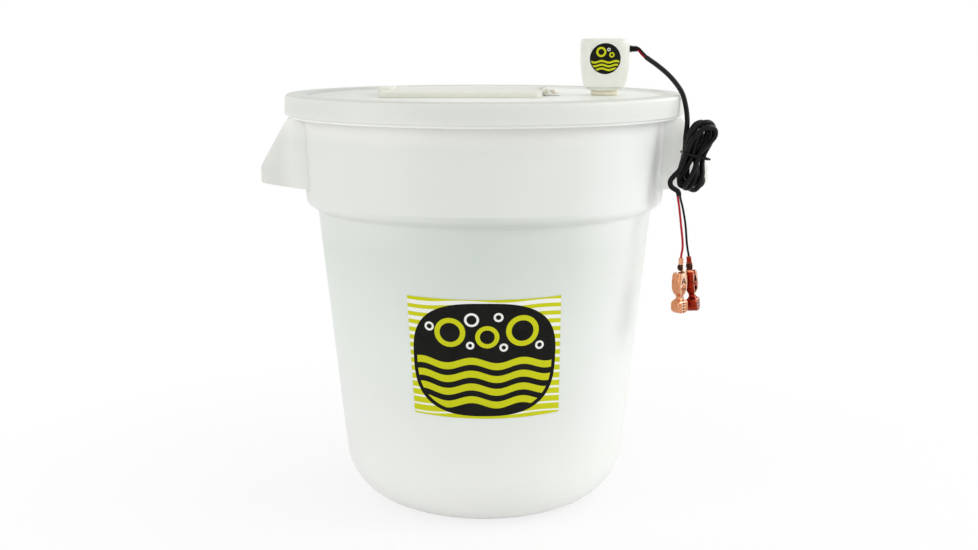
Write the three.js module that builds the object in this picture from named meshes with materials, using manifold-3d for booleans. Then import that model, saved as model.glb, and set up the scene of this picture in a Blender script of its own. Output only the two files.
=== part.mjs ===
// Live bait well: a round tub with a press-on lid, a hinged bait door, and a battery aerator that
// stands on the lid and drives an impeller at the foot of a stem inside the tub.
// Millimetres, +Z up, origin on the floor under the middle of the tub.
// +X points to the aerator and its cable, and -Y to the front.
import * as THREE from 'three';
import { mergeVertices } from 'three/addons/utils/BufferGeometryUtils.js';
import Module from 'manifold-3d';

const wasm = await Module();
wasm.setup();

// Clearances and cutting lengths
const seatGap = 0.3;
const overrun = 2;

// Facet counts
const largeFacets = 48;
const smallFacets = 20;
const tinyFacets = 12;
const cornerSteps = 2;
const largeCornerSteps = 5;
const gapSamples = 6;

// Tub shell
const tubWall = 3.2;
const footRecess = 2.5;
const footInnerRadius = 62;
const footSlope = 2;
const baseCornerRadius = 60;
const lowerWallDraft = 31.1;
const shoulderFootZ = 306.5;
const shoulderRise = 6.5;
const shoulderWidth = 11.3;
const shoulderFilletRadius = 4;
const shoulderRoundRadius = 9;
const bandDraft = 4.7;
const bandTopRadius = 187.5;
const rimTopZ = 419.6;
const rimThickness = 3.4;
const rimOverhang = 12.6;
const rimRoundRadius = 3;
const lipDepth = 20.1;
const lipThickness = 3;
const lipDraft = 0.7;

// Tub handles
const handleReach = 24.5;
const handleSlopeInset = 5.2;
const handleSlopeDrop = 50;
const handleTipHeight = 14.5;
const handleMouthRise = 6.6;
const handleRootHalfWidth = 62.9;
const handleTipHalfWidth = 48;
const handleCornerRadius = 14;
const handleEdgeRadius = 3;
const handleShoulderShare = 0.75;
const handleWall = 3;

// Lid
const lidWall = 2.6;
const lidPlateDrop = 2.6;
const lidStepWidth = 2.5;
const lidRimRoundRadius = 4;
const lidSkirtDepth = 20.1;
const lidSkirtDraft = 0.6;

// Bait door and its raised coaming
const doorCentreY = 5;
const doorRimMargin = 83.5;
const doorHeadSpacing = 65.5;
const doorWidth = 134;
const doorCornerRadius = 9;
const doorWall = 2.2;
const doorRise = 6;
const doorEdgeBevel = 1.4;
const doorSideGap = 1.6;
const coamingWall = 2.4;
const coamingDepth = 6;
const thumbLipLength = 12;
const thumbLipWidth = 46;
const thumbLipRise = 2.4;
const thumbLipRadius = 5.5;
const thumbNotchDepth = 3.4;

// Door hinges
const hingeFrontY = -15;
const hingeRearY = 30;
const hingeOffset = 5.3;
const hingeHeight = 4.6;
const knuckleRadius = 3.4;
const knuckleLength = 10;
const doorKnuckleLength = 6;
const hingePinRadius = 1.3;
const hingePinHead = 0.8;
const hingePinHeadRadius = 2.6;
const bracketLength = 17;
const bracketThickness = 1.9;
const bracketOffset = 2.2;
const bracketCornerRadius = 1;
const hingeScrewOffset = 9.2;
const hingeScrewRadius = 1.5;
const hingeScrewLength = 10.5;
const screwHeadRadius = 3.1;
const screwHeadHeight = 1.8;
const screwSlotWidth = 0.9;
const screwSlotDepth = 0.8;
const hingeNutWidth = 5.6;
const hingeNutHeight = 2.4;
const nibOffsetX = 13;
const nibY = 17;
const nibRadius = 2.4;
const nibHeight = 3;

// Aerator head
const headRimMargin = 65;
const gasketRadius = 13.8;
const gasketHeight = 3.9;
const headHeight = 52.8;
const headHalfWidth = 24.4;
const headWall = 2.2;
const headBaseHeight = 3.2;
const headSides = 32;
const spigotRadius = 7;
const spigotLength = 22.5;
const cradleWall = 1.6;
const cradleHeight = 12;

// Motor
const motorRadius = 13.8;
const motorTopGap = 7.1;
const motorSeatHeight = 2.5;
const motorBossRadius = 3.4;
const motorBossHeight = 1.4;
const motorEdgeRadius = 1;
const motorShaftRadius = 1.15;
const motorShaftDepth = 10;
const motorShaftReach = 12.2;
const endCapHeight = 3.2;
const endCapInset = 1.6;
const terminalThickness = 0.8;
const terminalWidth = 3;
const terminalHeight = 4;
const terminalSpacing = 12;
const motorLeadRadius = 0.95;

// Stem, coupling and drive shaft
const stemRadius = 6.25;
const stemWall = 1.5;
const airHoleRadius = 1.5;
const airHoleDrop = 39;
const couplingRadius = 3.5;
const couplingLength = 14;
const couplingTopDrop = 0.5;
const driveShaftRadius = 1.5;
const driveShaftReach = 29;
const bushLength = 7;
const upperBushDrop = 27.5;
const washerRadius = 13;
const washerThickness = 1.5;
const lockNutWidth = 22;
const lockNutHeight = 7;

// Impeller and strainer
const impellerRadius = 11;
const impellerHubRadius = 3.2;
const impellerHubHeight = 10;
const impellerDrop = 14;
const impellerBlades = 3;
const bladeThickness = 1.2;
const bladeChord = 9;
const bladePitchDegrees = 38;
const impellerNutRadius = 3;
const impellerNutHeight = 2.7;
const strainerRadius = 15;
const strainerFloorGap = 62;
const strainerWall = 1.8;
const strainerCollarWall = 2;
const strainerCollarHeight = 12;
const strainerSlots = 10;
const strainerSlotWidth = 4.6;
const strainerSlotHeight = 24;
const strainerBand = 4;
const strainerCapThickness = 2;
const strainerCapPlug = 3;
const strainerCapEdgeRadius = 1;
const strainerInletRadius = 5;

// Strain relief
const reliefDrop = 10.8;
const reliefRootRadius = 3.6;
const reliefEndRadius = 2.9;
const reliefLength = 8;
const reliefNeckRadius = 2.5;
const reliefFlangeRadius = 4;
const reliefFlangeThickness = 1.5;
const reliefPocketRadius = 2.3;
const reliefPocketDepth = 3;

// Cable, wires and hank
const wireRadius = 0.9;
const cableRadius = 2.5;
const cordSides = 8;
const wireSteps = 6;
const dropSteps = 16;
const tailSteps = 15;
const leadSteps = 12;
const loopSteps = 24;
const loopSides = 6;
const hankTurnPitch = 6.1;
const hankLayerPitch = 5.7;
const hankLayers = 4;
const hankWholeTurns = 5;
const hankWaistHalfWidth = 10.2;
const hankEndRadius = 13.5;
const hankDepthCentreY = -90;
const hankTopTwistDegrees = 35;
const hankFootTwistDegrees = -60;
const hankFanShare = 0.3;
const hankEntryRise = 9;
const hankExitDrop = 4.4;
const tieHeight = 2.4;
const tieThickness = 1.3;
const tieKnotRadius = 1.5;
const tieKnotLength = 5;

// Battery clips
const clipSheet = 0.9;
const clipTopRise = 12.5;
const clipNoseDrop = 29.2;
const clipBellyReach = 7.2;
const clipWaistReach = 3;
const clipWaistDrop = 13.2;
const clipNoseReach = 7.6;
const fixedJawHalfWidth = 4.2;
const clipNoseHalfWidth = 5.5;
const clipWaistHalfWidth = 3;
const clipEarRadius = 3.1;
const clipEdgeReach = 1.5;
const toothDepth = 1;
const jawTopReachShare = 0.78;
const jawNoseCornerShare = 0.9;
const jawTipReachShare = 0.5;
const jawCornerRadius = 1;
const jawNoseRadius = 2;
const toothCount = 5;
const clipPinRadius = 1;
const clipPinHeadRadius = 1.8;
const clipPinHead = 0.6;
const clipStrapHalfWidth = 3;
const clipStrapTop = 21.6;
const strapFootReach = 1.1;
const strapBendReach = 1.8;
const strapHeelRise = 1.4;
const strapCrankRise = 1.8;
const barrelRadius = 2.4;
const barrelBoreRadius = 1.35;
const barrelFoot = 20.6;
const barrelLength = 6.4;
const terminalScrewRise = 17.6;
const terminalScrewRadius = 1.3;
const terminalScrewLength = 3.6;
const terminalScrewHeadRadius = 2.4;
const terminalScrewHead = 1.4;
const springRadius = 1.75;
const springWireRadius = 0.4;
const springPitch = 1.4;
const springCurls = 3.5;
const springSteps = 8;
const springSides = 5;
const springLegRise = 7.6;
const springLegReach = 3.6;

// Cord routes, chosen by hand
const blackWireRoute = [
  [153.3, 0, 467.55], [156.4, -0.2, 467.3], [160.4, -3.9, 463.2], [164.1, -9.15, 458.95],
];
const redWireRoute = [
  [153.3, 0, 465.45], [156, -0.1, 465.2], [159.6, -3.2, 461.1], [163.6, -8.45, 456.8],
];
const cableDropRoute = [
  [164, -9, 457.8], [173.8, -25, 449.9], [181.9, -40, 442], [188.2, -53.4, 433.6], [192.9, -66, 424.2],
  [194.9, -75, 413.6], [195.9, -79.8, 403.5], [196, -81.6, 395.5], [195.4, -82.2, 389.5],
];
const hankAxisRoute = [[199.5, 330.5], [193.5, 364.2], [215.5, 400]];
const cableTailRoute = [
  [189.2, -99.5, 356.2], [185.9, -100.2, 351.6], [181.4, -100.3, 347], [178.4, -100, 342], [179.6, -99.6, 337],
  [183.2, -99, 334.4], [186.3, -98.5, 332.3], [187.3, -98.2, 329.8], [187.3, -98.2, 328.3],
];
const redLeadRoute = [
  [186.15, -98.2, 327.9], [186.5, -98.2, 325.5], [188, -97.8, 316.9], [190.3, -97.4, 299.3],
  [192.3, -97.4, 282.1],
  [192.3, -97.5, 275.7], [191.4, -97.7, 270.6], [191.14, -97.7, 267.6], [191.14, -97.7, 262.8],
];
const blackLeadRoute = [
  [188.45, -98.2, 327.9], [188.9, -98.1, 325.5], [191.7, -96.4, 315.9], [195.1, -93.8, 299.3],
  [197.6, -90, 280],
  [199.3, -87.2, 272], [200.02, -86.45, 269], [200.25, -86.41, 267], [200.74, -86.41, 262.7],
];
const redClipPivot = [190.8, -98, 240.2];
const redClipTurnDegrees = -138.6;
const redClipTiltDegrees = 0;
const blackClipPivot = [203.5, -86, 240];
const blackClipTurnDegrees = 66.5;
const blackClipTiltDegrees = -6.5;

// Places, heights and radii that follow from the sizes above
const bandFootRadius = bandTopRadius - bandDraft;
const lowerWallTopRadius = bandFootRadius - shoulderWidth;
const lowerWallFootRadius = lowerWallTopRadius - lowerWallDraft;
const bandInnerRadius = bandTopRadius - tubWall;
const lipOuterRadius = bandTopRadius + rimOverhang;
const lipFootZ = rimTopZ - lipDepth;
const floorTopZ = footRecess + tubWall;
const lidInnerRadius = lipOuterRadius + seatGap;
const lidOuterRadius = lidInnerRadius + lidWall;
const lidRimUnderZ = rimTopZ + seatGap;
const lidRimTopZ = lidRimUnderZ + lidWall;
const plateTopZ = lidRimTopZ - lidPlateDrop;
const plateUnderZ = plateTopZ - lidWall;
const plugRadius = bandInnerRadius - seatGap;
const doorTopZ = plateTopZ + doorRise;
const doorFootZ = plateTopZ + seatGap;
const doorUnderZ = doorTopZ - doorWall;
const headX = bandTopRadius - headRimMargin;
const doorHingeEndX = headX - doorHeadSpacing;
const doorFreeEndX = doorRimMargin - bandTopRadius;
const doorLength = doorHingeEndX - doorFreeEndX;
const hingeX = doorHingeEndX + hingeOffset;
const hingeZ = plateTopZ + hingeHeight;
const bracketTopZ = plateTopZ + seatGap + bracketThickness;
const gasketTopZ = plateTopZ + seatGap + gasketHeight;
const headFootZ = gasketTopZ + seatGap;
const headTopZ = headFootZ + headHeight;
const headBaseTopZ = headFootZ + headBaseHeight;
const shellFootZ = headBaseTopZ + seatGap;
const stemTopZ = headFootZ - seatGap;
const strainerFootZ = floorTopZ + strainerFloorGap + strainerCapThickness + seatGap;
const strainerSlotFootZ = strainerFootZ + strainerBand;
const strainerSlotTopZ = strainerSlotFootZ + strainerSlotHeight;
const strainerPlateTopZ = strainerSlotTopZ + seatGap + strainerWall;
const stemFootZ = strainerPlateTopZ + strainerBand;
const stemBoreRadius = stemRadius - stemWall;
const motorFootZ = headBaseTopZ + motorSeatHeight + seatGap;
const motorTopZ = headTopZ - headWall - motorTopGap - endCapHeight - seatGap;
const endCapTopZ = motorTopZ + seatGap + endCapHeight;
const motorShaftFootZ = motorFootZ - motorShaftReach;
const couplingTopZ = headFootZ + couplingTopDrop;
const couplingFootZ = couplingTopZ - couplingLength;
const driveShaftTopZ = motorShaftFootZ - seatGap;
const driveShaftFootZ = stemFootZ - driveShaftReach;
const impellerTopZ = stemFootZ - impellerDrop;
const impellerFootZ = impellerTopZ - impellerHubHeight;
const strainerTopZ = stemFootZ + strainerCollarHeight - strainerBand;
const reliefZ = headTopZ - reliefDrop;
const clipNoseRootDrop = (clipWaistDrop * 2 + clipNoseDrop) / 3;

// Geometry helpers: closed meshes that are joined, cut and met with one another
function toSolid(geometry) {
  const bare = geometry.clone();
  bare.deleteAttribute('normal');
  bare.deleteAttribute('uv');
  const merged = mergeVertices(bare);
  const position = merged.attributes.position;
  const triangles = [];
  let volume = 0;
  const corner = [0, 1, 2].map(() => new THREE.Vector3());
  for (let i = 0; i < merged.index.count; i += 3) {
    const [a, b, c] = [0, 1, 2].map((k) => merged.index.getX(i + k));
    if (a === b || b === c || c === a) continue;
    [a, b, c].forEach((vertex, k) => corner[k].fromBufferAttribute(position, vertex));
    volume += corner[0].dot(corner[1].clone().cross(corner[2]));
    triangles.push([a, b, c]);
  }
  const facing = volume > 0 ? triangles : triangles.map(([a, b, c]) => [a, c, b]);
  const mesh = new wasm.Mesh({
    numProp: 3,
    vertProperties: new Float32Array(position.array),
    triVerts: new Uint32Array(facing.flat()),
  });
  return new wasm.Manifold(mesh);
}

function fromSolid(solid) {
  const mesh = solid.getMesh();
  const geometry = new THREE.BufferGeometry();
  const vertices = new Float32Array(mesh.vertProperties);
  geometry.setAttribute('position', new THREE.BufferAttribute(vertices, mesh.numProp));
  geometry.setIndex(new THREE.BufferAttribute(new Uint32Array(mesh.triVerts), 1));
  return geometry;
}

function join(first, ...others) {
  return fromSolid(others.reduce((sum, other) => sum.add(toSolid(other)), toSolid(first)));
}

function cut(first, ...others) {
  return fromSolid(others.reduce((rest, other) => rest.subtract(toSolid(other)), toSolid(first)));
}

function meet(first, ...others) {
  return fromSolid(others.reduce((shared, other) => shared.intersect(toSolid(other)), toSolid(first)));
}

// An outline's points, from corners given as [x, y] or, where rounded, [x, y, radius]
function rounded(corners, steps = cornerSteps) {
  const points = [];
  corners.forEach(([x, y, radius = 0, count = steps], i) => {
    const here = new THREE.Vector2(x, y);
    if (radius === 0) {
      points.push(here);
      return;
    }
    const [before, after] = [corners.length - 1, 1].map((step) => {
      const [otherX, otherY] = corners[(i + step) % corners.length];
      return new THREE.Vector2(otherX, otherY).sub(here).normalize();
    });
    const halfAngle = Math.acos(THREE.MathUtils.clamp(before.dot(after), -1, 1)) / 2;
    const bisector = before.clone().add(after).normalize();
    const middle = bisector.multiplyScalar(radius / Math.sin(halfAngle)).add(here);
    const start = before.clone().multiplyScalar(radius / Math.tan(halfAngle)).add(here).sub(middle);
    const end = after.clone().multiplyScalar(radius / Math.tan(halfAngle)).add(here).sub(middle);
    const sweep = Math.atan2(start.cross(end), start.dot(end));
    for (let k = 0; k <= count; k++) {
      points.push(start.clone().rotateAround(new THREE.Vector2(), (sweep * k) / count).add(middle));
    }
  });
  return points;
}

// A solid of revolution about Z; the outline starts and ends on the axis or closes on itself
function turned(points, facets = smallFacets) {
  const closed = points[0].x === 0 ? points : [...points, points[0]];
  return new THREE.LatheGeometry(closed, facets).rotateX(Math.PI / 2);
}

function ring(innerRadius, outerRadius, bottom, top, facets = smallFacets) {
  const corners = [[innerRadius, bottom], [outerRadius, bottom], [outerRadius, top], [innerRadius, top]];
  return turned(corners.map(([x, y]) => new THREE.Vector2(x, y)), facets);
}

function rod(radius, bottom, top, facets = smallFacets) {
  return ring(0, radius, bottom, top, facets);
}

// Prisms: upright along Z, sideways along Y with the outline in X and Z, endways along X with it in Y and Z
function upright(points, bottom, top) {
  const shape = new THREE.Shape(points);
  const prism = new THREE.ExtrudeGeometry(shape, { depth: top - bottom, bevelEnabled: false });
  return prism.translate(0, 0, bottom);
}

function sideways(points, front, back) {
  const shape = new THREE.Shape(points);
  const prism = new THREE.ExtrudeGeometry(shape, { depth: back - front, bevelEnabled: false });
  return prism.rotateX(Math.PI / 2).translate(0, back, 0);
}

function endways(points, near, far) {
  const shape = new THREE.Shape(points);
  const prism = new THREE.ExtrudeGeometry(shape, { depth: far - near, bevelEnabled: false });
  return prism.rotateX(Math.PI / 2).rotateZ(Math.PI / 2).translate(near, 0, 0);
}

function rectangle(left, right, low, high, radius = 0) {
  return rounded([[left, low, radius], [right, low, radius], [right, high, radius], [left, high, radius]]);
}

function hexagon(width) {
  const radius = width / Math.sqrt(3);
  return [0, 1, 2, 3, 4, 5].map((k) => {
    return new THREE.Vector2(radius, 0).rotateAround(new THREE.Vector2(), (k * Math.PI) / 3);
  });
}

// A closed skin over rings of points that all have the same count, capped at both ends
function skin(rings) {
  const count = rings[0].length;
  const points = rings.flat();
  const index = [];
  for (let r = 0; r + 1 < rings.length; r++) {
    for (let k = 0; k < count; k++) {
      const [a, b] = [r * count + k, r * count + ((k + 1) % count)];
      index.push(a, b, a + count, b, b + count, a + count);
    }
  }
  for (let k = 1; k + 1 < count; k++) {
    index.push(0, k + 1, k);
    const last = (rings.length - 1) * count;
    index.push(last, last + k, last + k + 1);
  }
  const geometry = new THREE.BufferGeometry().setFromPoints(points);
  geometry.setIndex(index);
  return geometry;
}

// A round tube along a hand-chosen route
function cordAlong(route, radius, steps) {
  const points = route.map((point) => new THREE.Vector3(...point));
  const curve = new THREE.CatmullRomCurve3(points, false, 'centripetal');
  const section = new THREE.Shape();
  for (let k = 0; k < cordSides; k++) {
    const angle = ((k + 0.5) * 2 * Math.PI) / cordSides;
    const point = [radius * Math.cos(angle), radius * Math.sin(angle)];
    if (k === 0) section.moveTo(...point);
    else section.lineTo(...point);
  }
  return new THREE.ExtrudeGeometry(section, { steps, bevelEnabled: false, extrudePath: curve });
}

// One unbroken tube through every point of a wound form
function woundTube(points, radius, sides) {
  let across = new THREE.Vector3(0, 1, 0);
  const rings = points.map((point, i) => {
    const back = points[Math.max(i - 1, 0)];
    const ahead = points[Math.min(i + 1, points.length - 1)];
    const along = ahead.clone().sub(back).normalize();
    across = across.clone().addScaledVector(along, -across.dot(along)).normalize();
    const up = along.clone().cross(across);
    return Array.from({ length: sides }, (_, k) => {
      const angle = (k * 2 * Math.PI) / sides;
      const spoke = across.clone().multiplyScalar(Math.cos(angle)).addScaledVector(up, Math.sin(angle));
      return spoke.multiplyScalar(radius).add(point);
    });
  });
  return skin(rings);
}

// The least clear gap between stretches of a wound tube that are more than a few steps apart
function leastGap(points, radius, apart) {
  const spans = points.slice(1).map((point, i) => new THREE.Line3(points[i], point));
  let least = Infinity;
  spans.forEach((span, i) => {
    for (let s = 0; s <= gapSamples; s++) {
      const sample = span.at(s / gapSamples, new THREE.Vector3());
      for (let j = i + apart; j < spans.length; j++) {
        const near = spans[j].closestPointToPoint(sample, true, new THREE.Vector3());
        least = Math.min(least, near.distanceTo(sample));
      }
    }
  });
  return least - 2 * radius;
}

// Materials
function plastic(color, roughness = 0.45) {
  return new THREE.MeshStandardMaterial({ color, roughness, metalness: 0 });
}

function metal(color, roughness = 0.3) {
  return new THREE.MeshStandardMaterial({ color, roughness, metalness: 1 });
}

const milkyPlastic = 0xe4e9df;
const doorPlastic = 0xe6e7d6;
const headPlastic = 0xecebdf;
const tanRubber = 0xd8c8a0;
const blackRubber = 0x101012;
const redSheath = 0xa5182c;
const copper = 0xc8683c;
const brass = 0xb08d4a;
const steel = 0xb4b6b8;
const greyPlastic = 0x9aa09c;

const baitWell = new THREE.Group();

function add(parent, name, geometry, material) {
  const mesh = new THREE.Mesh(geometry, material);
  mesh.name = name;
  mesh.geometry.computeVertexNormals();
  parent.add(mesh);
  return mesh;
}

// Tub: a turned shell with a rolled rim, and a hollow handle open underneath on each side
function tubOutside() {
  return [
    [0, footRecess],
    [footInnerRadius - footSlope, footRecess],
    [footInnerRadius, 0],
    [lowerWallFootRadius, 0, baseCornerRadius, largeCornerSteps],
    [lowerWallTopRadius, shoulderFootZ, shoulderFilletRadius],
    [bandFootRadius, shoulderFootZ + shoulderRise, shoulderRoundRadius],
  ];
}

function handleSolid(wall, side) {
  const slopeTopX = lipOuterRadius - handleSlopeInset;
  const tipX = lipOuterRadius + handleReach - wall;
  const slope = (tipX + wall - slopeTopX) / handleSlopeDrop;
  const roofDrop = wall * Math.hypot(1, slope) / slope;
  const tipTopZ = lipFootZ - handleSlopeDrop - roofDrop + wall / slope;
  const tipFootZ = lipFootZ - handleSlopeDrop - handleTipHeight;
  const below = wall > 0 ? overrun : 0;
  const rootX = Math.sqrt((bandFootRadius - tubWall) ** 2 - handleRootHalfWidth ** 2);
  const roofRootZ = tipTopZ + (tipX - rootX) / slope;
  const profile = rounded([
    [rootX, tipFootZ - handleMouthRise - below],
    [tipX, tipFootZ - below],
    [tipX, tipTopZ, handleEdgeRadius],
    [rootX, roofRootZ],
  ]);
  const plan = rounded([
    [rootX, wall - handleRootHalfWidth],
    [lipOuterRadius + handleReach - wall, wall - handleTipHalfWidth, handleCornerRadius - wall],
    [lipOuterRadius + handleReach - wall, handleTipHalfWidth - wall, handleCornerRadius - wall],
    [rootX, handleRootHalfWidth - wall],
  ]);
  const wide = lipOuterRadius + 2 * handleReach;
  const underRim = turned(rounded([
    [0, 0], [wide, 0], [wide, lipFootZ - handleSlopeDrop * handleShoulderShare],
    [lidOuterRadius - wall, lipFootZ], [slopeTopX - wall, lipFootZ], [slopeTopX - wall, rimTopZ],
    [0, rimTopZ],
  ]), largeFacets);
  const box = sideways(profile, -handleRootHalfWidth, handleRootHalfWidth);
  const solid = meet(box, upright(plan, 0, rimTopZ), underRim);
  return side > 0 ? solid : solid.rotateZ(Math.PI);
}

function tubBody() {
  const roofZ = rimTopZ - rimThickness;
  const profile = rounded([
    ...tubOutside(),
    [bandTopRadius, roofZ],
    [lipOuterRadius - lipThickness, roofZ],
    [lipOuterRadius - lipThickness - lipDraft, lipFootZ],
    [lipOuterRadius - lipDraft, lipFootZ],
    [lipOuterRadius, rimTopZ, rimRoundRadius],
    [bandInnerRadius, rimTopZ, rimRoundRadius / 2, 1],
    [bandFootRadius - tubWall, shoulderFootZ + shoulderRise + tubWall / 2, shoulderRoundRadius - tubWall, 1],
    [lowerWallTopRadius - tubWall, shoulderFootZ + tubWall / 2, shoulderFilletRadius + tubWall, 1],
    [lowerWallFootRadius - tubWall, floorTopZ, baseCornerRadius - tubWall, largeCornerSteps - 1],
    [0, floorTopZ],
  ]);
  const shell = turned(profile, largeFacets);
  const filled = rounded([...tubOutside(), [bandTopRadius, rimTopZ + overrun], [0, rimTopZ + overrun]]);
  const core = filled.map((point) => new THREE.Vector2(Math.max(point.x - tubWall / 2, 0), point.y));
  const inside = turned(core, largeFacets);
  const handles = [1, -1].map((side) => cut(handleSolid(0, side), handleSolid(handleWall, side), inside));
  return join(shell, ...handles);
}

add(baitWell, 'tub_body', tubBody(), plastic(milkyPlastic));

// Lid: a recessed plate in a raised rim with a skirt, the door's coaming, and holes for the fittings
function doorOutline(inset) {
  return rectangle(
    doorFreeEndX + inset, doorHingeEndX - inset,
    doorCentreY - doorWidth / 2 + inset, doorCentreY + doorWidth / 2 - inset,
    doorCornerRadius - inset / 2,
  );
}

function lidBody() {
  const skirtFootZ = lidRimTopZ - lidSkirtDepth;
  const profile = rounded([
    [0, plateTopZ],
    [plugRadius - lidStepWidth, plateTopZ],
    [plugRadius, lidRimTopZ],
    [lidOuterRadius - lidSkirtDraft, lidRimTopZ, lidRimRoundRadius],
    [lidOuterRadius, skirtFootZ],
    [lidInnerRadius, skirtFootZ],
    [lidInnerRadius, lidRimUnderZ],
    [plugRadius, lidRimUnderZ],
    [plugRadius, plateUnderZ],
    [0, plateUnderZ],
  ]);
  const plate = turned(profile, largeFacets);
  const coamingInset = doorWall + doorSideGap;
  const coaming = upright(doorOutline(coamingInset), plateUnderZ - coamingDepth, doorUnderZ - seatGap);
  const nib = rod(nibRadius, plateTopZ - lidWall / 2, plateTopZ + nibHeight, tinyFacets);
  nib.translate(hingeX + nibOffsetX, nibY, 0);
  const aperture = upright(doorOutline(coamingInset + coamingWall), 0, doorTopZ);
  const stemHole = rod(spigotRadius + seatGap, 0, headTopZ).translate(headX, 0, 0);
  const screwHoles = [hingeFrontY, hingeRearY].map((y) => {
    const hole = rod(hingeScrewRadius + seatGap, 0, headTopZ, tinyFacets);
    return hole.translate(hingeX + hingeScrewOffset, y, 0);
  });
  return cut(join(plate, coaming, nib), aperture, stemHole, ...screwHoles);
}

add(baitWell, 'lid', lidBody(), plastic(milkyPlastic));

// Bait door: a shallow tray over the coaming, with a thumb lip and four hinge knuckles
function alongY(geometry, x, y, z) {
  return geometry.rotateX(Math.PI / 2).translate(x, y, z);
}

function hingeBarrel(radius, fromY, toY) {
  return alongY(rod(radius, -toY, -fromY, tinyFacets), hingeX, 0, hingeZ);
}

function doorKnuckle(hingeY, side) {
  const near = hingeY + side * (knuckleLength / 2 + seatGap);
  const far = near + side * doorKnuckleLength;
  const [fromY, toY] = [Math.min(near, far), Math.max(near, far)];
  const arm = rectangle(doorHingeEndX - doorWall, hingeX, doorUnderZ, doorTopZ);
  return [hingeBarrel(knuckleRadius, fromY, toY), sideways(arm, fromY, toY)];
}

function doorBody() {
  const tray = new THREE.ExtrudeGeometry(new THREE.Shape(doorOutline(0)), {
    depth: doorRise,
    bevelThickness: doorEdgeBevel,
    bevelSize: doorEdgeBevel,
    bevelOffset: -doorEdgeBevel,
    bevelSegments: 2,
  }).translate(0, 0, doorTopZ - doorRise - doorEdgeBevel);
  const below = upright(rectangle(-doorLength, doorLength, -doorLength, doorLength), 0, doorFootZ);
  const hollow = upright(doorOutline(doorWall), 0, doorUnderZ);
  const lip = upright(
    rectangle(
      doorFreeEndX - thumbNotchDepth, doorFreeEndX + thumbLipLength,
      doorCentreY - thumbLipWidth / 2, doorCentreY + thumbLipWidth / 2, thumbLipRadius,
    ),
    doorUnderZ, doorTopZ + thumbLipRise,
  );
  const knuckles = [hingeFrontY, hingeRearY].flatMap((y) => [...doorKnuckle(y, 1), ...doorKnuckle(y, -1)]);
  const boreHalf = knuckleLength / 2 + doorKnuckleLength + overrun;
  const bores = [hingeFrontY, hingeRearY].map((y) => {
    return hingeBarrel(hingePinRadius + seatGap, y - boreHalf, y + boreHalf);
  });
  return cut(join(cut(tray, below, hollow), lip, ...knuckles), ...bores);
}

add(baitWell, 'door', doorBody(), plastic(doorPlastic));

// Door hinges: a screwed-down bracket, a pin, a slotted screw and a nut under the lid, front and rear
function bracketBody(hingeY) {
  const [front, back] = [hingeY - knuckleLength / 2, hingeY + knuckleLength / 2];
  const left = hingeX - bracketOffset;
  const heelX = hingeX + hingeScrewOffset - screwHeadRadius - 2 * seatGap;
  const outline = rectangle(left, left + bracketLength, front, back, bracketCornerRadius);
  const plate = upright(outline, plateTopZ + seatGap, bracketTopZ);
  const heel = rounded([
    [hingeX, plateTopZ + seatGap],
    [heelX, plateTopZ + seatGap],
    [heelX, bracketTopZ],
    [hingeX, hingeZ + knuckleRadius],
  ]);
  const barrel = hingeBarrel(knuckleRadius, front, back);
  const bore = hingeBarrel(hingePinRadius + seatGap, front - overrun, back + overrun);
  const hole = rod(hingeScrewRadius + seatGap, 0, headTopZ, tinyFacets);
  hole.translate(hingeX + hingeScrewOffset, hingeY, 0);
  return cut(join(plate, sideways(heel, front, back), barrel), bore, hole);
}

function slottedScrew(headRadius, headHeight, shankRadius, length) {
  const profile = rounded([
    [0, -length], [shankRadius, -length], [shankRadius, 0], [headRadius, 0],
    [headRadius, headHeight, headHeight / 2], [0, headHeight],
  ]);
  const slotHalf = headRadius + overrun;
  const slot = rectangle(-slotHalf, slotHalf, -screwSlotWidth / 2, screwSlotWidth / 2);
  return cut(turned(profile, tinyFacets), upright(slot, headHeight - screwSlotDepth, headHeight + overrun));
}

[['front', hingeFrontY], ['rear', hingeRearY]].forEach(([place, y]) => {
  add(baitWell, `hinge_bracket_${place}`, bracketBody(y), plastic(milkyPlastic));
  const pinHalf = knuckleLength / 2 + seatGap + doorKnuckleLength + seatGap;
  const pin = rounded([
    [0, -pinHalf - hingePinHead], [hingePinHeadRadius, -pinHalf - hingePinHead],
    [hingePinHeadRadius, -pinHalf], [hingePinRadius, -pinHalf], [hingePinRadius, pinHalf], [0, pinHalf],
  ]);
  add(baitWell, `hinge_pin_${place}`, alongY(turned(pin, tinyFacets), hingeX, y, hingeZ), metal(steel));
  const screw = slottedScrew(screwHeadRadius, screwHeadHeight, hingeScrewRadius, hingeScrewLength);
  screw.translate(hingeX + hingeScrewOffset, y, bracketTopZ + seatGap);
  add(baitWell, `hinge_screw_${place}`, screw, metal(brass));
  const nutTop = plateUnderZ - seatGap;
  const nutFoot = nutTop - hingeNutHeight;
  const nutBore = rod(hingeScrewRadius + seatGap, nutFoot - overrun, nutTop + overrun, tinyFacets);
  const nut = cut(upright(hexagon(hingeNutWidth), nutFoot, nutTop), nutBore);
  add(baitWell, `hinge_nut_${place}`, nut.translate(hingeX + hingeScrewOffset, y, 0), metal(brass));
});

// Aerator head: rounded-square housing that draws in to a round foot
const headShares = [
  [0, 0.594, 2], [0.019, 0.713, 2.1], [0.057, 0.82, 2.3], [0.123, 0.885, 2.6], [0.256, 0.938, 3],
  [0.445, 0.984, 3.4], [0.634, 1, 3.6], [0.9, 1, 3.6], [0.966, 0.967, 3.4], [1, 0.893, 3.1],
];

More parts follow.
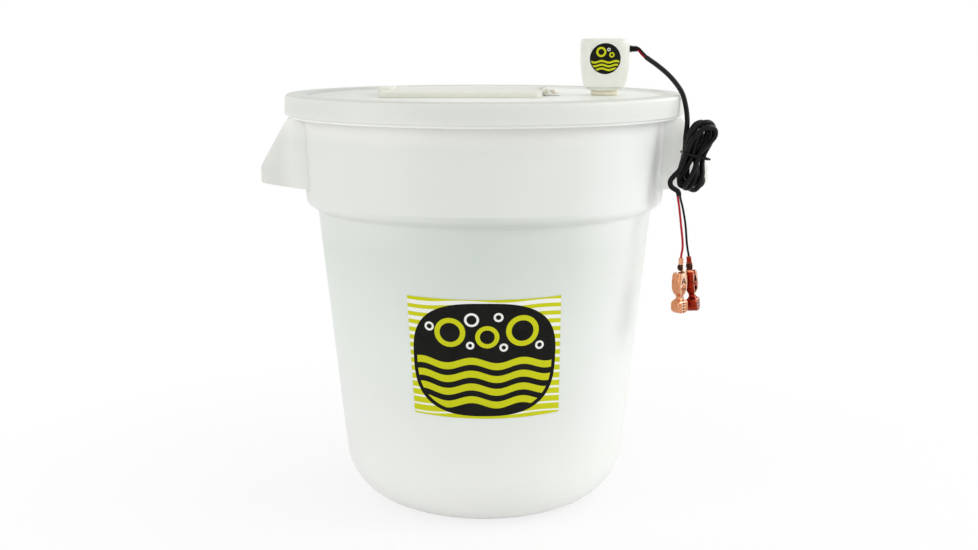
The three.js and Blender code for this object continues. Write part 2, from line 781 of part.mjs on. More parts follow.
function headRing(heightShare, widthShare, squareness, inset) {
  const half = headHalfWidth * widthShare - inset;
  return Array.from({ length: headSides }, (_, k) => {
    const angle = (k * 2 * Math.PI) / headSides;
    const [c, s] = [Math.cos(angle), Math.sin(angle)];
    const reach = (Math.abs(c) ** squareness + Math.abs(s) ** squareness) ** (-1 / squareness);
    const z = headFootZ + headHeight * heightShare;
    return new THREE.Vector3(headX + half * reach * c, half * reach * s, z);
  });
}

function headSolid(inset) {
  return skin(headShares.map(([height, width, squareness]) => headRing(height, width, squareness, inset)));
}

function headBand(bottom, top, geometry) {
  const reach = headHalfWidth + overrun;
  return meet(geometry, upright(rectangle(headX - reach, headX + reach, -reach, reach), bottom, top));
}

function headShell() {
  const outside = headBand(shellFootZ, headTopZ + overrun, headSolid(0));
  const inside = headBand(headFootZ, headTopZ - headWall, headSolid(headWall));
  const hole = rod(reliefNeckRadius + seatGap, 0, headHalfWidth * 2, tinyFacets).rotateY(Math.PI / 2);
  return cut(outside, inside, hole.translate(headX, 0, reliefZ));
}

function headBase() {
  const foot = headBand(headFootZ, headBaseTopZ, headSolid(0));
  const seat = rod(motorRadius, headFootZ, motorFootZ - seatGap);
  const cradleInner = motorRadius + seatGap;
  const cradle = ring(cradleInner, cradleInner + cradleWall, headFootZ, headBaseTopZ + cradleHeight);
  const cradleInside = upright(rectangle(-headX, headX, -headX, headX), 0, headTopZ);
  const round = meet(cradle, cradleInside);
  const spigot = rod(spigotRadius, headFootZ - spigotLength, headFootZ + headBaseHeight / 2);
  const stemSeat = rod(stemRadius + seatGap, 0, headFootZ);
  const bore = rod(couplingRadius + 2 * seatGap, 0, headTopZ);
  const onAxisParts = [seat, round, spigot].map((piece) => piece.translate(headX, 0, 0));
  const body = join(foot, ...onAxisParts);
  return cut(body, stemSeat.translate(headX, 0, 0), bore.translate(headX, 0, 0));
}

const aerator = new THREE.Group();
baitWell.add(aerator);
add(aerator, 'head_shell', headShell(), plastic(headPlastic, 0.35));
add(aerator, 'head_base', headBase(), plastic(headPlastic, 0.35));

// Pieces on the stem's axis are made about Z and stand in a group at the head's place
const onAxis = new THREE.Group();
onAxis.position.x = headX;
aerator.add(onAxis);

const gasket = ring(spigotRadius + seatGap, gasketRadius, plateTopZ + seatGap, gasketTopZ);
add(onAxis, 'head_gasket', join(gasket), plastic(tanRubber, 0.8));

const washerTop = plateUnderZ - seatGap;
const washer = ring(spigotRadius + seatGap, washerRadius, washerTop - washerThickness, washerTop);
add(onAxis, 'stem_washer', join(washer), metal(steel));
const lockNutTop = washerTop - washerThickness - seatGap;
const lockNutBore = rod(spigotRadius + seatGap, lockNutTop - lockNutHeight - overrun, lockNutTop + overrun);
const lockNut = cut(upright(hexagon(lockNutWidth), lockNutTop - lockNutHeight, lockNutTop), lockNutBore);
add(onAxis, 'lock_nut', lockNut, plastic(headPlastic));

// Motor: can with its front boss and shaft bore, end cap, and two terminals with their leads
function motorCan() {
  const profile = rounded([
    [0, motorFootZ - motorBossHeight], [motorBossRadius, motorFootZ - motorBossHeight],
    [motorBossRadius, motorFootZ],
    [motorRadius, motorFootZ, motorEdgeRadius], [motorRadius, motorTopZ], [0, motorTopZ],
  ]);
  const bore = rod(motorShaftRadius + seatGap, 0, motorFootZ + motorShaftDepth + seatGap, tinyFacets);
  return cut(turned(profile), bore);
}

add(onAxis, 'motor_can', motorCan(), metal(steel, 0.35));
const endCapProfile = rounded([
  [0, motorTopZ + seatGap], [motorRadius - endCapInset, motorTopZ + seatGap],
  [motorRadius - endCapInset, endCapTopZ, motorEdgeRadius], [0, endCapTopZ],
]);
add(onAxis, 'motor_end_cap', join(turned(endCapProfile)), plastic(blackRubber));

[['red', -1], ['black', 1]].forEach(([tone, side]) => {
  const y = (side * terminalSpacing) / 2;
  const foot = endCapTopZ + seatGap;
  const half = [terminalThickness / 2, terminalWidth / 2];
  const tab = rectangle(-half[0], half[0], y - half[1], y + half[1]);
  add(onAxis, `motor_terminal_${tone}`, join(upright(tab, foot, foot + terminalHeight)), metal(brass));
  const reliefFaceX = headHalfWidth - headWall - 2 * seatGap - reliefFlangeThickness;
  const leadSpread = motorLeadRadius + seatGap;
  const leadZ = foot + terminalHeight / 2;
  const lead = cordAlong([
    [terminalThickness / 2 + seatGap, y, leadZ],
    [motorRadius - 3 * motorLeadRadius, (side * terminalSpacing) / 3, leadZ + seatGap],
    [motorRadius + 2 * motorLeadRadius, side * 2 * leadSpread, (leadZ + reliefZ) / 2 + motorLeadRadius],
    [reliefFaceX - seatGap, side * leadSpread, reliefZ],
  ], motorLeadRadius, wireSteps);
  add(onAxis, `motor_lead_${tone}`, join(lead), plastic(tone === 'red' ? redSheath : blackRubber));
});

// Drive: motor shaft, coupling, drive shaft, stem tube and its bushes
const motorShaft = rod(motorShaftRadius, motorShaftFootZ, motorFootZ + motorShaftDepth, tinyFacets);
add(onAxis, 'motor_shaft', join(motorShaft), metal(steel));

function couplingBody() {
  const meetingZ = motorShaftFootZ - seatGap / 2;
  const upper = rod(motorShaftRadius + seatGap, meetingZ, couplingTopZ + overrun, tinyFacets);
  const lower = rod(driveShaftRadius + seatGap, couplingFootZ - overrun, meetingZ, tinyFacets);
  return cut(rod(couplingRadius, couplingFootZ, couplingTopZ, tinyFacets), upper, lower);
}

add(onAxis, 'shaft_coupling', couplingBody(), metal(steel));
const driveShaft = rod(driveShaftRadius, driveShaftFootZ, driveShaftTopZ, tinyFacets);
add(onAxis, 'drive_shaft', join(driveShaft), metal(steel));

const stemTube = ring(stemBoreRadius, stemRadius, stemFootZ, stemTopZ);
const airHole = rod(airHoleRadius, -stemRadius - overrun, stemRadius + overrun, tinyFacets);
airHole.rotateY(Math.PI / 2).translate(0, 0, stemTopZ - airHoleDrop);
add(onAxis, 'stem_tube', cut(stemTube, airHole), plastic(headPlastic));

[['upper', stemTopZ - upperBushDrop], ['lower', stemFootZ + bushLength + seatGap]].forEach(([place, top]) => {
  const bush = ring(driveShaftRadius + seatGap, stemBoreRadius - seatGap, top - bushLength, top, tinyFacets);
  add(onAxis, `shaft_bush_${place}`, join(bush), metal(brass, 0.4));
});

// Impeller: three pitched blades on a hub, held by a nut
function impellerBody() {
  const hub = rod(impellerHubRadius, impellerFootZ, impellerTopZ);
  const middleZ = (impellerFootZ + impellerTopZ) / 2;
  const blades = Array.from({ length: impellerBlades }, (_, k) => {
    const outline = rounded([
      [impellerHubRadius / 2, -bladeChord / 3], [impellerRadius, -bladeChord / 2, bladeChord / 4],
      [impellerRadius, bladeChord / 2, bladeChord / 4], [impellerHubRadius / 2, bladeChord / 3],
    ]);
    const blade = upright(outline, -bladeThickness / 2, bladeThickness / 2);
    blade.rotateX(THREE.MathUtils.degToRad(bladePitchDegrees));
    return blade.rotateZ((k * 2 * Math.PI) / impellerBlades).translate(0, 0, middleZ);
  });
  const reach = rod(impellerRadius, impellerFootZ, impellerTopZ);
  const bore = rod(driveShaftRadius + seatGap, 0, stemFootZ, tinyFacets);
  return cut(meet(join(hub, ...blades), reach), bore);
}

add(onAxis, 'impeller', impellerBody(), plastic(greyPlastic));
const impellerNutTop = impellerFootZ - seatGap;
const impellerNutFoot = impellerNutTop - impellerNutHeight;
const impellerNutBore = driveShaftRadius + seatGap;
const impellerNut = ring(impellerNutBore, impellerNutRadius, impellerNutFoot, impellerNutTop, tinyFacets);
add(onAxis, 'impeller_nut', join(impellerNut), metal(brass));

// Strainer: a slotted cage that hangs from the stem by its collar, with a plugged-in cap
function strainerCage() {
  const collarInner = stemRadius + seatGap;
  const inner = strainerRadius - strainerWall;
  const plateUnder = strainerPlateTopZ - strainerWall;
  const profile = rounded([
    [collarInner, strainerTopZ], [collarInner, plateUnder], [inner, plateUnder], [inner, strainerFootZ],
    [strainerRadius, strainerFootZ], [strainerRadius, strainerPlateTopZ, strainerWall / 2],
    [collarInner + strainerCollarWall, strainerPlateTopZ], [collarInner + strainerCollarWall, strainerTopZ],
  ]);
  const slots = Array.from({ length: strainerSlots }, (_, k) => {
    const half = strainerSlotWidth / 2;
    const outline = rectangle(-half, half, strainerSlotFootZ, strainerSlotTopZ);
    const slot = endways(outline, inner - overrun, strainerRadius + overrun);
    return slot.rotateZ((k * 2 * Math.PI) / strainerSlots);
  });
  return cut(turned(profile), ...slots);
}

add(onAxis, 'strainer_cage', strainerCage(), plastic(greyPlastic));
const capTop = strainerFootZ - seatGap;
const capPlugRadius = strainerRadius - strainerWall - seatGap;
const capProfile = rounded([
  [strainerInletRadius, capTop - strainerCapThickness],
  [strainerRadius, capTop - strainerCapThickness, strainerCapEdgeRadius],
  [strainerRadius, capTop], [capPlugRadius, capTop], [capPlugRadius, capTop + strainerCapPlug],
  [capPlugRadius - strainerWall, capTop + strainerCapPlug], [capPlugRadius - strainerWall, capTop],
  [strainerInletRadius, capTop],
]);
add(onAxis, 'strainer_cap', join(turned(capProfile)), plastic(greyPlastic));

// Strain relief through the head's wall
function strainRelief() {
  const wallOut = headHalfWidth + seatGap;
  const wallIn = headHalfWidth - headWall - seatGap;
  const flangeBack = wallIn - reliefFlangeThickness;
  const end = wallOut + reliefLength;
  const profile = rounded([
    [0, flangeBack], [reliefFlangeRadius, flangeBack], [reliefFlangeRadius, wallIn],
    [reliefNeckRadius, wallIn], [reliefNeckRadius, wallOut], [reliefRootRadius, wallOut],
    [reliefEndRadius, end], [reliefPocketRadius, end],
    [reliefPocketRadius, end - reliefPocketDepth], [0, end - reliefPocketDepth],
  ]);
  return join(turned(profile, tinyFacets).rotateY(Math.PI / 2));
}

add(onAxis, 'strain_relief', strainRelief(), plastic(blackRubber)).position.z = reliefZ;

// Hank: nested loops in four layers, drawn in at the waist where the tie holds them
const hankAxis = new THREE.QuadraticBezierCurve(...hankAxisRoute.map((point) => new THREE.Vector2(...point)));
const hankHalfLength = hankAxis.getLength() / 2;
const hankRunHalf = hankHalfLength - hankEndRadius;
const hankArc = Math.PI * hankEndRadius;
const hankLoopLength = 2 * hankArc + 4 * hankRunHalf;

// The outermost loop at a share of one turn: [along the axis, across it] and the direction inward
function hankLoop(share) {
  const distance = (share - Math.floor(share)) * hankLoopLength;
  const half = hankLoopLength / 2;
  const mirrored = distance > half;
  const travelled = mirrored ? hankLoopLength - distance : distance;
  let [along, across, inAlong, inAcross] = [0, 0, 0, 0];
  if (travelled < hankArc / 2 || travelled > half - hankArc / 2) {
    const top = travelled < hankArc / 2;
    const angle = (top ? travelled : half - travelled) / hankEndRadius;
    along = (top ? 1 : -1) * (hankRunHalf + hankEndRadius * Math.cos(angle));
    across = -hankEndRadius * Math.sin(angle);
    inAlong = (top ? -1 : 1) * Math.cos(angle);
    inAcross = Math.sin(angle);
  } else {
    along = hankRunHalf - (travelled - hankArc / 2);
    const swell = (1 - Math.cos((Math.PI * along) / hankRunHalf)) / 2;
    across = -hankWaistHalfWidth - (hankEndRadius - hankWaistHalfWidth) * swell;
    inAcross = 1;
  }
  return mirrored ? [along, -across, inAlong, -inAcross] : [along, across, inAlong, inAcross];
}

// Turns inward and outward between the layers; the layer climbs in the half turn about each reversal
const quarterTurn = 0.25;
const hankReversals = [1.25, 2.75, 4.25];
const hankFirstTurn = quarterTurn - hankEntryRise / hankLoopLength;
const hankLastTurn = hankWholeTurns + quarterTurn + hankExitDrop / hankLoopLength;

// From the waist to each end the loops turn about the hank's axis and their layers fan out
function hankSection(across, layer, reach) {
  const end = THREE.MathUtils.smoothstep(Math.abs(reach), 0, 1);
  const degrees = end * (reach > 0 ? hankTopTwistDegrees : hankFootTwistDegrees);
  const pitch = hankLayerPitch * (1 + hankFanShare * end);
  const section = new THREE.Vector2(across, ((hankLayers - 1) / 2 - layer) * pitch);
  return section.rotateAround(new THREE.Vector2(), THREE.MathUtils.degToRad(degrees));
}

function hankPoint(turn) {
  const folds = hankReversals.filter((reversal) => turn > reversal).length;
  const inward = [
    turn - hankReversals[0], hankReversals[0] - turn, turn - hankReversals[2], hankReversals[2] - turn,
  ][folds];
  const turnsIn = hankReversals[1] - hankReversals[0] + inward;
  const layer = hankReversals.reduce((sum, reversal) => {
    return sum + THREE.MathUtils.clamp((turn - reversal + quarterTurn) * 2, 0, 1);
  }, 0);
  const [along, across, inAlong, inAcross] = hankLoop(turn);
  const inset = turnsIn * hankTurnPitch;
  const [u, v] = [along + inset * inAlong, across + inset * inAcross];
  const reach = THREE.MathUtils.clamp(u / hankHalfLength, -1, 1);
  const spine = hankAxis.getPointAt((reach + 1) / 2);
  const tangent = hankAxis.getTangentAt((reach + 1) / 2);
  const section = hankSection(v, layer, reach);
  return new THREE.Vector3(
    spine.x + section.x * tangent.y, hankDepthCentreY + section.y, spine.y - section.x * tangent.x,
  );
}

function hankPoints() {
  const steps = Math.round((hankLastTurn - hankFirstTurn) * loopSteps);
  return Array.from({ length: steps + 1 }, (_, i) => {
    return hankPoint(hankFirstTurn + ((hankLastTurn - hankFirstTurn) * i) / steps);
  });
}

const hank = hankPoints();
const hankGap = leastGap(hank, cableRadius, loopSteps / 4);
console.log(`hank: least gap to itself ${hankGap.toFixed(2)} mm`);

// Power cord: wires from the relief, the cable to the hank, the tail and the two leads
const cord = new THREE.Group();
baitWell.add(cord);
const hankIn = hank[1].clone().sub(hank[0]).normalize();
const hankOut = hank.at(-1).clone().sub(hank.at(-2)).normalize();
const hankStart = hank[0].clone().addScaledVector(hankIn, -seatGap);
const hankEnd = hank.at(-1).clone().addScaledVector(hankOut, seatGap);
const entry = hankStart.clone().addScaledVector(hankIn, -2 * cableRadius);
const exit = hankEnd.clone().addScaledVector(hankOut, cableRadius);
const dropRoute = [...cableDropRoute, entry.toArray(), hankStart.toArray()];
const tailRoute = [hankEnd.toArray(), exit.toArray(), ...cableTailRoute];
add(cord, 'wire_red_top', join(cordAlong(redWireRoute, wireRadius, wireSteps)), plastic(redSheath));
add(cord, 'wire_black_top', join(cordAlong(blackWireRoute, wireRadius, wireSteps)), plastic(blackRubber));
add(cord, 'cable_drop', join(cordAlong(dropRoute, cableRadius, dropSteps)), plastic(blackRubber));
add(cord, 'cable_hank', join(woundTube(hank, cableRadius, loopSides)), plastic(blackRubber));
add(cord, 'cable_tail', join(cordAlong(tailRoute, cableRadius, tailSteps)), plastic(blackRubber));
add(cord, 'lead_red', join(cordAlong(redLeadRoute, wireRadius, leadSteps)), plastic(redSheath));
add(cord, 'lead_black', join(cordAlong(blackLeadRoute, wireRadius, leadSteps)), plastic(blackRubber));

// Tie round the hank's waist, with its twisted end on the far side
function tieBody() {
  const halfDepth = ((hankLayers - 1) / 2) * hankLayerPitch + cableRadius + seatGap;
  const left = hankWaistHalfWidth - hankTurnPitch / 2 + cableRadius + seatGap;
  const right = hankWaistHalfWidth + cableRadius + seatGap;
  const [outer, inner] = [tieThickness, 0].map((wall) => {
    const [depth, half] = [halfDepth + wall, wall > 0 ? tieHeight / 2 : tieHeight];
    return upright(rectangle(-left - wall, right + wall, -depth, depth, cableRadius + wall), -half, half);
  });
  const knot = rod(tieKnotRadius, 0, tieKnotLength, tinyFacets).rotateY(Math.PI / 2);
  return join(cut(outer, inner), knot.translate(right + tieThickness / 2, -halfDepth / 2, 0));
}

const waist = hankAxis.getPointAt(0.5);
const waistTangent = hankAxis.getTangentAt(0.5);
const tie = add(cord, 'hank_tie', tieBody(), plastic(blackRubber));
tie.position.set(waist.x, hankDepthCentreY, waist.y);
tie.rotation.y = Math.atan2(waistTangent.x, waistTangent.y);

// Battery clips: two sheet-metal channel jaws on a pin, with teeth, a coil spring and a terminal screw.
// The moving jaw lies on the clip's own +X side, and the wire barrel points up.
function jawBack(inset) {
  return [
    [clipBellyReach * jawTopReachShare - inset, clipTopRise + (inset > 0 ? overrun : 0)],
    [clipBellyReach - inset, clipTopRise / 3, clipBellyReach * 2],
    [clipBellyReach - inset, -clipWaistDrop / 4, clipBellyReach],
    [clipWaistReach - inset, -clipWaistDrop, jawCornerRadius],
    [clipNoseReach - inset, -clipNoseRootDrop, jawNoseRadius],
    [clipNoseReach - inset, -clipNoseDrop * jawNoseCornerShare, jawNoseRadius],
    [clipNoseReach * jawTipReachShare, inset - clipNoseDrop, jawCornerRadius],
  ];
}

function jawEdge() {
  const toothTop = -clipWaistDrop - clipSheet;
  const pitch = (clipNoseDrop + toothTop) / toothCount;
  const teeth = Array.from({ length: toothCount }, (_, k) => {
    const low = -clipNoseDrop + k * pitch;
    return [[seatGap / 2, low], [seatGap / 2 + toothDepth, low + pitch / 2]];
  }).flat();
  const edgeFoot = [clipEdgeReach, toothTop + toothDepth];
  return [...teeth, [seatGap / 2, toothTop], edgeFoot, [clipEdgeReach, clipTopRise]];
}

function jawWidths(upperHalf, inset) {
  const half = [
    [upperHalf - inset, clipTopRise + (inset > 0 ? overrun : 0)],
    [upperHalf - inset, -clipWaistDrop / 2],
    [clipWaistHalfWidth - inset, -clipWaistDrop],
    [clipNoseHalfWidth - inset, -clipNoseRootDrop],
    [clipNoseHalfWidth - inset, inset - clipNoseDrop],
  ];
  return rounded([...half, ...half.map(([y, z]) => [-y, z]).reverse()]);
}

function clipJaw(upperHalf, side) {
  const reach = clipBellyReach + overrun;
  const outline = rounded([...jawBack(0), ...jawEdge()], 2);
  const ear = alongY(rod(clipEarRadius, -upperHalf, upperHalf, tinyFacets), 0, 0, 0);
  const body = join(sideways(outline, -reach, reach), ear);
  const shaped = meet(body, endways(jawWidths(upperHalf, 0), -reach, reach * 2));
  const openSide = [[-reach, clipSheet - clipNoseDrop], [-reach, clipTopRise + overrun]];
  const hollowProfile = rounded([...jawBack(clipSheet), ...openSide], 1);
  const hollow = meet(
    sideways(hollowProfile, -reach, reach),
    endways(jawWidths(upperHalf, clipSheet), -reach * 2, reach * 2),
  );
  const bore = alongY(rod(clipPinRadius + seatGap, -reach, reach, tinyFacets), 0, 0, 0);
  const jaw = cut(shaped, hollow, bore);
  return side > 0 ? jaw : jaw.rotateZ(Math.PI);
}

// The fixed jaw carries a cranked strap and the wire barrel above its channel
function fixedJaw() {
  const top = clipTopRise;
  const backX = -clipBellyReach * jawTopReachShare;
  const strap = rounded([
    [backX, top - clipSheet], [backX + strapFootReach, top - clipSheet],
    [backX + strapBendReach, top + clipSheet / 2], [0, top + strapCrankRise],
    [0, clipStrapTop], [-clipSheet, clipStrapTop],
    [-clipSheet, top + strapCrankRise + clipSheet], [backX + clipSheet, top + strapHeelRise],
  ]);
  const plate = sideways(strap, -clipStrapHalfWidth, clipStrapHalfWidth);
  const barrel = rod(barrelRadius, barrelFoot, barrelFoot + barrelLength, tinyFacets);
  barrel.translate(-clipSheet / 2, 0, 0);
  const bore = rod(barrelBoreRadius, clipStrapTop, clipStrapTop + barrelLength, tinyFacets);
  bore.translate(-clipSheet / 2, 0, 0);
  const hole = rod(terminalScrewRadius + seatGap, -clipBellyReach, clipBellyReach, tinyFacets);
  hole.rotateY(Math.PI / 2).translate(0, 0, terminalScrewRise);
  return cut(join(clipJaw(fixedJawHalfWidth, -1), plate, barrel), bore, hole);
}

function clipSpring() {
  const coilHalf = (springCurls * springPitch) / 2;
  const steps = Math.round(springCurls * springSteps);
  const coil = Array.from({ length: steps + 1 }, (_, i) => {
    const angle = (springCurls * 2 * Math.PI * i) / steps;
    const along = (2 * coilHalf * i) / steps - coilHalf;
    return new THREE.Vector3(springRadius * Math.cos(angle), along, springRadius * Math.sin(angle));
  });
  const firstLeg = new THREE.Vector3(springRadius, -coilHalf, -springLegReach);
  const lastLeg = new THREE.Vector3(-springLegReach, coilHalf, springLegRise);
  return [firstLeg, ...coil, lastLeg];
}

const spring = clipSpring();
const springGap = leastGap(spring, springWireRadius, springSteps / 2);
console.log(`clip spring: least gap to itself ${springGap.toFixed(2)} mm`);

[
  ['red', redClipPivot, redClipTurnDegrees, redClipTiltDegrees, 1],
  ['black', blackClipPivot, blackClipTurnDegrees, blackClipTiltDegrees, -1],
].forEach(([tone, pivot, turnDegrees, tiltDegrees, screwSide]) => {
  const leaning = new THREE.Group();
  leaning.position.set(...pivot);
  leaning.rotation.y = THREE.MathUtils.degToRad(tiltDegrees);
  const clip = new THREE.Group();
  clip.rotation.z = THREE.MathUtils.degToRad(turnDegrees);
  cord.add(leaning);
  leaning.add(clip);
  const movingHalfWidth = fixedJawHalfWidth + clipSheet + seatGap;
  add(clip, `clip_${tone}_fixed_jaw`, fixedJaw(), metal(copper));
  add(clip, `clip_${tone}_moving_jaw`, clipJaw(movingHalfWidth, 1), metal(copper));
  const pinHalf = movingHalfWidth + seatGap;
  const pin = rounded([
    [0, -pinHalf - clipPinHead], [clipPinHeadRadius, -pinHalf - clipPinHead], [clipPinHeadRadius, -pinHalf],
    [clipPinRadius, -pinHalf], [clipPinRadius, pinHalf], [clipPinHeadRadius, pinHalf],
    [clipPinHeadRadius, pinHalf + clipPinHead], [0, pinHalf + clipPinHead],
  ]);
  add(clip, `clip_${tone}_pin`, join(alongY(turned(pin, tinyFacets), 0, 0, 0)), metal(copper));
  add(clip, `clip_${tone}_spring`, join(woundTube(spring, springWireRadius, springSides)), metal(steel));
  const screw = slottedScrew(
    terminalScrewHeadRadius, terminalScrewHead, terminalScrewRadius, terminalScrewLength,
  );
  screw.rotateY((screwSide * Math.PI) / 2);
  const seat = screwSide > 0 ? seatGap : -clipSheet - seatGap;
  add(clip, `clip_${tone}_screw`, screw.translate(seat, 0, terminalScrewRise), metal(brass));
});

export default baitWell;
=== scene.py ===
# %% [markdown]
# # A live bait well, dressed
#
# The object is a round moulded tub of milky plastic with a hand grip on each side, a press-on lid
# with a hinged bait door, and a battery aerator whose cord hangs beside the tub and ends in two
# crocodile clips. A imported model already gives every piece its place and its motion, so this
# lesson only gives the pieces their fine surfaces and finishes. All lengths are metres, +Z is up,
# +X points to the aerator, and the photograph looks along +Y.

import math

import bmesh
import bpy
from mathutils import Matrix, Vector


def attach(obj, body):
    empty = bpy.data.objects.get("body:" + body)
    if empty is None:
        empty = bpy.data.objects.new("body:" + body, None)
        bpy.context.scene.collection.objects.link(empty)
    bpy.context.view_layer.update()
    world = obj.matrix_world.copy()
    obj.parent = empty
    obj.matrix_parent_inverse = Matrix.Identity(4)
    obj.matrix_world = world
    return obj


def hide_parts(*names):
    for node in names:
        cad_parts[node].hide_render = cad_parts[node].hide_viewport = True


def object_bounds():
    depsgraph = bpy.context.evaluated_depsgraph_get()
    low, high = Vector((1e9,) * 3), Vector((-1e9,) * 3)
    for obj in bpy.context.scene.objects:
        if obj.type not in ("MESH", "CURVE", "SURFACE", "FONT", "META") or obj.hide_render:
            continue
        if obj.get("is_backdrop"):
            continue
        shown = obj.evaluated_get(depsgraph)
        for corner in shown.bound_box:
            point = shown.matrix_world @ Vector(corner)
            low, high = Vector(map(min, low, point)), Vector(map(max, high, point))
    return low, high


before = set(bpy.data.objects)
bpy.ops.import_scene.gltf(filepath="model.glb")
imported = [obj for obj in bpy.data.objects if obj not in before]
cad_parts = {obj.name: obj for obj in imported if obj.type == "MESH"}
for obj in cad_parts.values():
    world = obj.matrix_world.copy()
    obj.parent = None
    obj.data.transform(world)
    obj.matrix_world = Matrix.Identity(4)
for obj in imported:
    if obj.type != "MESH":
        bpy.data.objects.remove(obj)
cad_low, cad_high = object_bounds()
print("packed model, mm:", [round(1000 * size) for size in cad_high - cad_low])

# %% [markdown]
# The camera comes first, because everything after it is judged through it. Its height, distance
# and pitch were worked out from the ellipses of the lid, the wall and the foot. The photograph
# was cropped a little off the lens's axis, and a small shift of the sensor does the same here.

# %% The camera
camera_place = Vector((0.0, -1.366, 0.484))
camera_pitch = math.radians(10.44)
camera_lens = 48.7
camera_shift = 0.0046

camera_data = bpy.data.cameras.new("camera")
camera_data.lens = camera_lens
camera_data.shift_x = camera_shift
camera = bpy.data.objects.new("camera", camera_data)
camera.location = camera_place
camera.rotation_euler = (math.pi / 2 - camera_pitch, 0, 0)
bpy.context.scene.collection.objects.link(camera)
bpy.context.scene.camera = camera
print("camera stands", round((camera_place - Vector((0, 0, camera_place.z))).length, 3), "m away")

# %% [markdown]
# Shader maths reads best as plain expressions. A Wire is one socket in a tree of nodes, and its
# operators add Math nodes, so that `1 - mask` or `x * x + y * y` can be written as it is said.
# Nodes is such a tree, whose method node() makes any other node, and a Finish is the tree of a
# material with one Principled shader.

# %% Finishes
class Wire:
    """A socket whose operators add Math nodes to its tree."""

    def __init__(self, nodes, socket):
        self.nodes = nodes
        self.socket = socket

    def maths(self, operation, *values):
        return self.nodes.node("ShaderNodeMath", {"operation": operation}, *values)

    def __add__(self, other):
        return self.maths("ADD", self, other)

    def __sub__(self, other):
        return self.maths("SUBTRACT", self, other)

    def __rsub__(self, other):
        return self.maths("SUBTRACT", other, self)

    def __mul__(self, other):
        return self.maths("MULTIPLY", self, other)

    def __truediv__(self, other):
        return self.maths("DIVIDE", self, other)

    def __pow__(self, other):
        return self.maths("POWER", self, other)

    def __lt__(self, other):
        return self.maths("LESS_THAN", self, other)

    def __gt__(self, other):
        return self.maths("GREATER_THAN", self, other)

    def __abs__(self):
        return self.maths("ABSOLUTE", self)

    def sine(self):
        return self.maths("SINE", self)

    def fraction(self):
        return self.maths("FRACT", self)

    def angle_from(self, other):
        return self.maths("ARCTAN2", self, other)

    def ramped(self, low, high, start=0.0, end=1.0):
        """A straight ramp from start, where the socket reads low, to end, where it reads high."""
        span = {"From_Min": low, "From_Max": high, "To_Min": start, "To_Max": end}
        return self.nodes.node("ShaderNodeMapRange", {}, self, **span)

    __radd__ = __add__
    __rmul__ = __mul__


class Nodes:
    """A tree that nodes are added to."""

    def __init__(self, tree):
        self.tree = tree

    def give(self, socket, value):
        if isinstance(value, Wire):
            self.tree.links.new(value.socket, socket)
        else:
            socket.default_value = value

    def node(self, kind, settings, *values, output=0, **named):
        node = self.tree.nodes.new(kind)
        for setting, value in settings.items():
            if setting == "stops":
                fill_ramp(node.color_ramp, value)
            else:
                setattr(node, setting, value)
        for key, value in [*enumerate(values), *named.items()]:
            self.give(node.inputs[key.replace("_", " ") if isinstance(key, str) else key], value)
        return Wire(self, node.outputs[output]) if node.outputs else None

    def place(self):
        return self.node("ShaderNodeTexCoord", {}, output="Object")


class Finish(Nodes):
    """A material with one Principled shader; plain values go straight onto its sockets."""

    def __init__(self, name, **plain):
        self.material = bpy.data.materials.new(name)
        self.material.use_nodes = True
        super().__init__(self.material.node_tree)
        self.shader = self.tree.nodes["Principled BSDF"]
        for words, value in plain.items():
            socket = words.replace("_", " ").title().replace("Ior", "IOR")
            self.shader.inputs[socket].default_value = value

    def feed(self, socket, wire):
        self.give(self.shader.inputs[socket], wire)

    def place_parts(self):
        node = self.node("ShaderNodeSeparateXYZ", {}, self.place()).socket.node
        return [Wire(self, socket) for socket in node.outputs]

    def noise(self, scale, detail=2.0, rough=0.5, stretch=None):
        place = self.place()
        if stretch:
            place = self.node("ShaderNodeMapping", {}, place, Scale=stretch)
        return self.node("ShaderNodeTexNoise", {}, Vector=place, Scale=scale, Detail=detail, Roughness=rough)

    def blend(self, share, first, second):
        mix = self.tree.nodes.new("ShaderNodeMix")
        mix.data_type = "RGBA"
        colours = [socket for socket in mix.inputs if socket.type == "RGBA"]
        for socket, value in [(mix.inputs[0], share), (colours[0], first), (colours[1], second)]:
            self.give(socket, value)
        return Wire(self, next(socket for socket in mix.outputs if socket.type == "RGBA"))

    def grain(self, height, strength, distance):
        bump = self.node("ShaderNodeBump", {}, Strength=strength, Distance=distance, Height=height)
        self.feed("Normal", bump)


def fill_ramp(ramp, stops):
    while len(ramp.elements) < len(stops):
        ramp.elements.new(0.5)
    for element, (place, colour) in zip(ramp.elements, stops):
        element.position = place
        element.color = colour


def tone(red, green, blue):
    """A colour as it looks on a screen, from 0 to 255, as the linear one that a shader takes."""
    shares = [value / 255 for value in (red, green, blue)]
    curve = [share / 12.92 if share <= 0.04045 else ((share + 0.055) / 1.055) ** 2.4 for share in shares]
    return (*curve, 1.0)


print("a mid grey becomes", [round(value, 3) for value in tone(128, 128, 128)])

# %% [markdown]
# The object stands on a plain pale floor in soft studio light. The page behind it is white, and
# that white is shown to the camera and in reflections only, so it adds no light to the object.
# Near the object the floor is partly a plain matt surface, which keeps the soft contact shadow.

# %% Floor and world
sky_strength = 0.74
floor_size = 12.0
shadow_radius, page_radius = 0.15, 0.62


def emptied(owner):
    """The tree of a world or a material, with none of the nodes that it comes with."""
    owner.use_nodes = True
    owner.node_tree.nodes.clear()
    return Nodes(owner.node_tree)


def white_to_eyes(nodes):
    """One for a ray from the camera, off something shiny or through something clear, else nought."""
    kinds = ("Camera", "Glossy", "Transmission")
    camera_ray, *others = [nodes.node("ShaderNodeLightPath", {}, output=f"Is {kind} Ray") for kind in kinds]
    seen = camera_ray
    for other in others:
        seen = nodes.node("ShaderNodeMath", {"operation": "ADD", "use_clamp": True}, seen, other)
    return seen


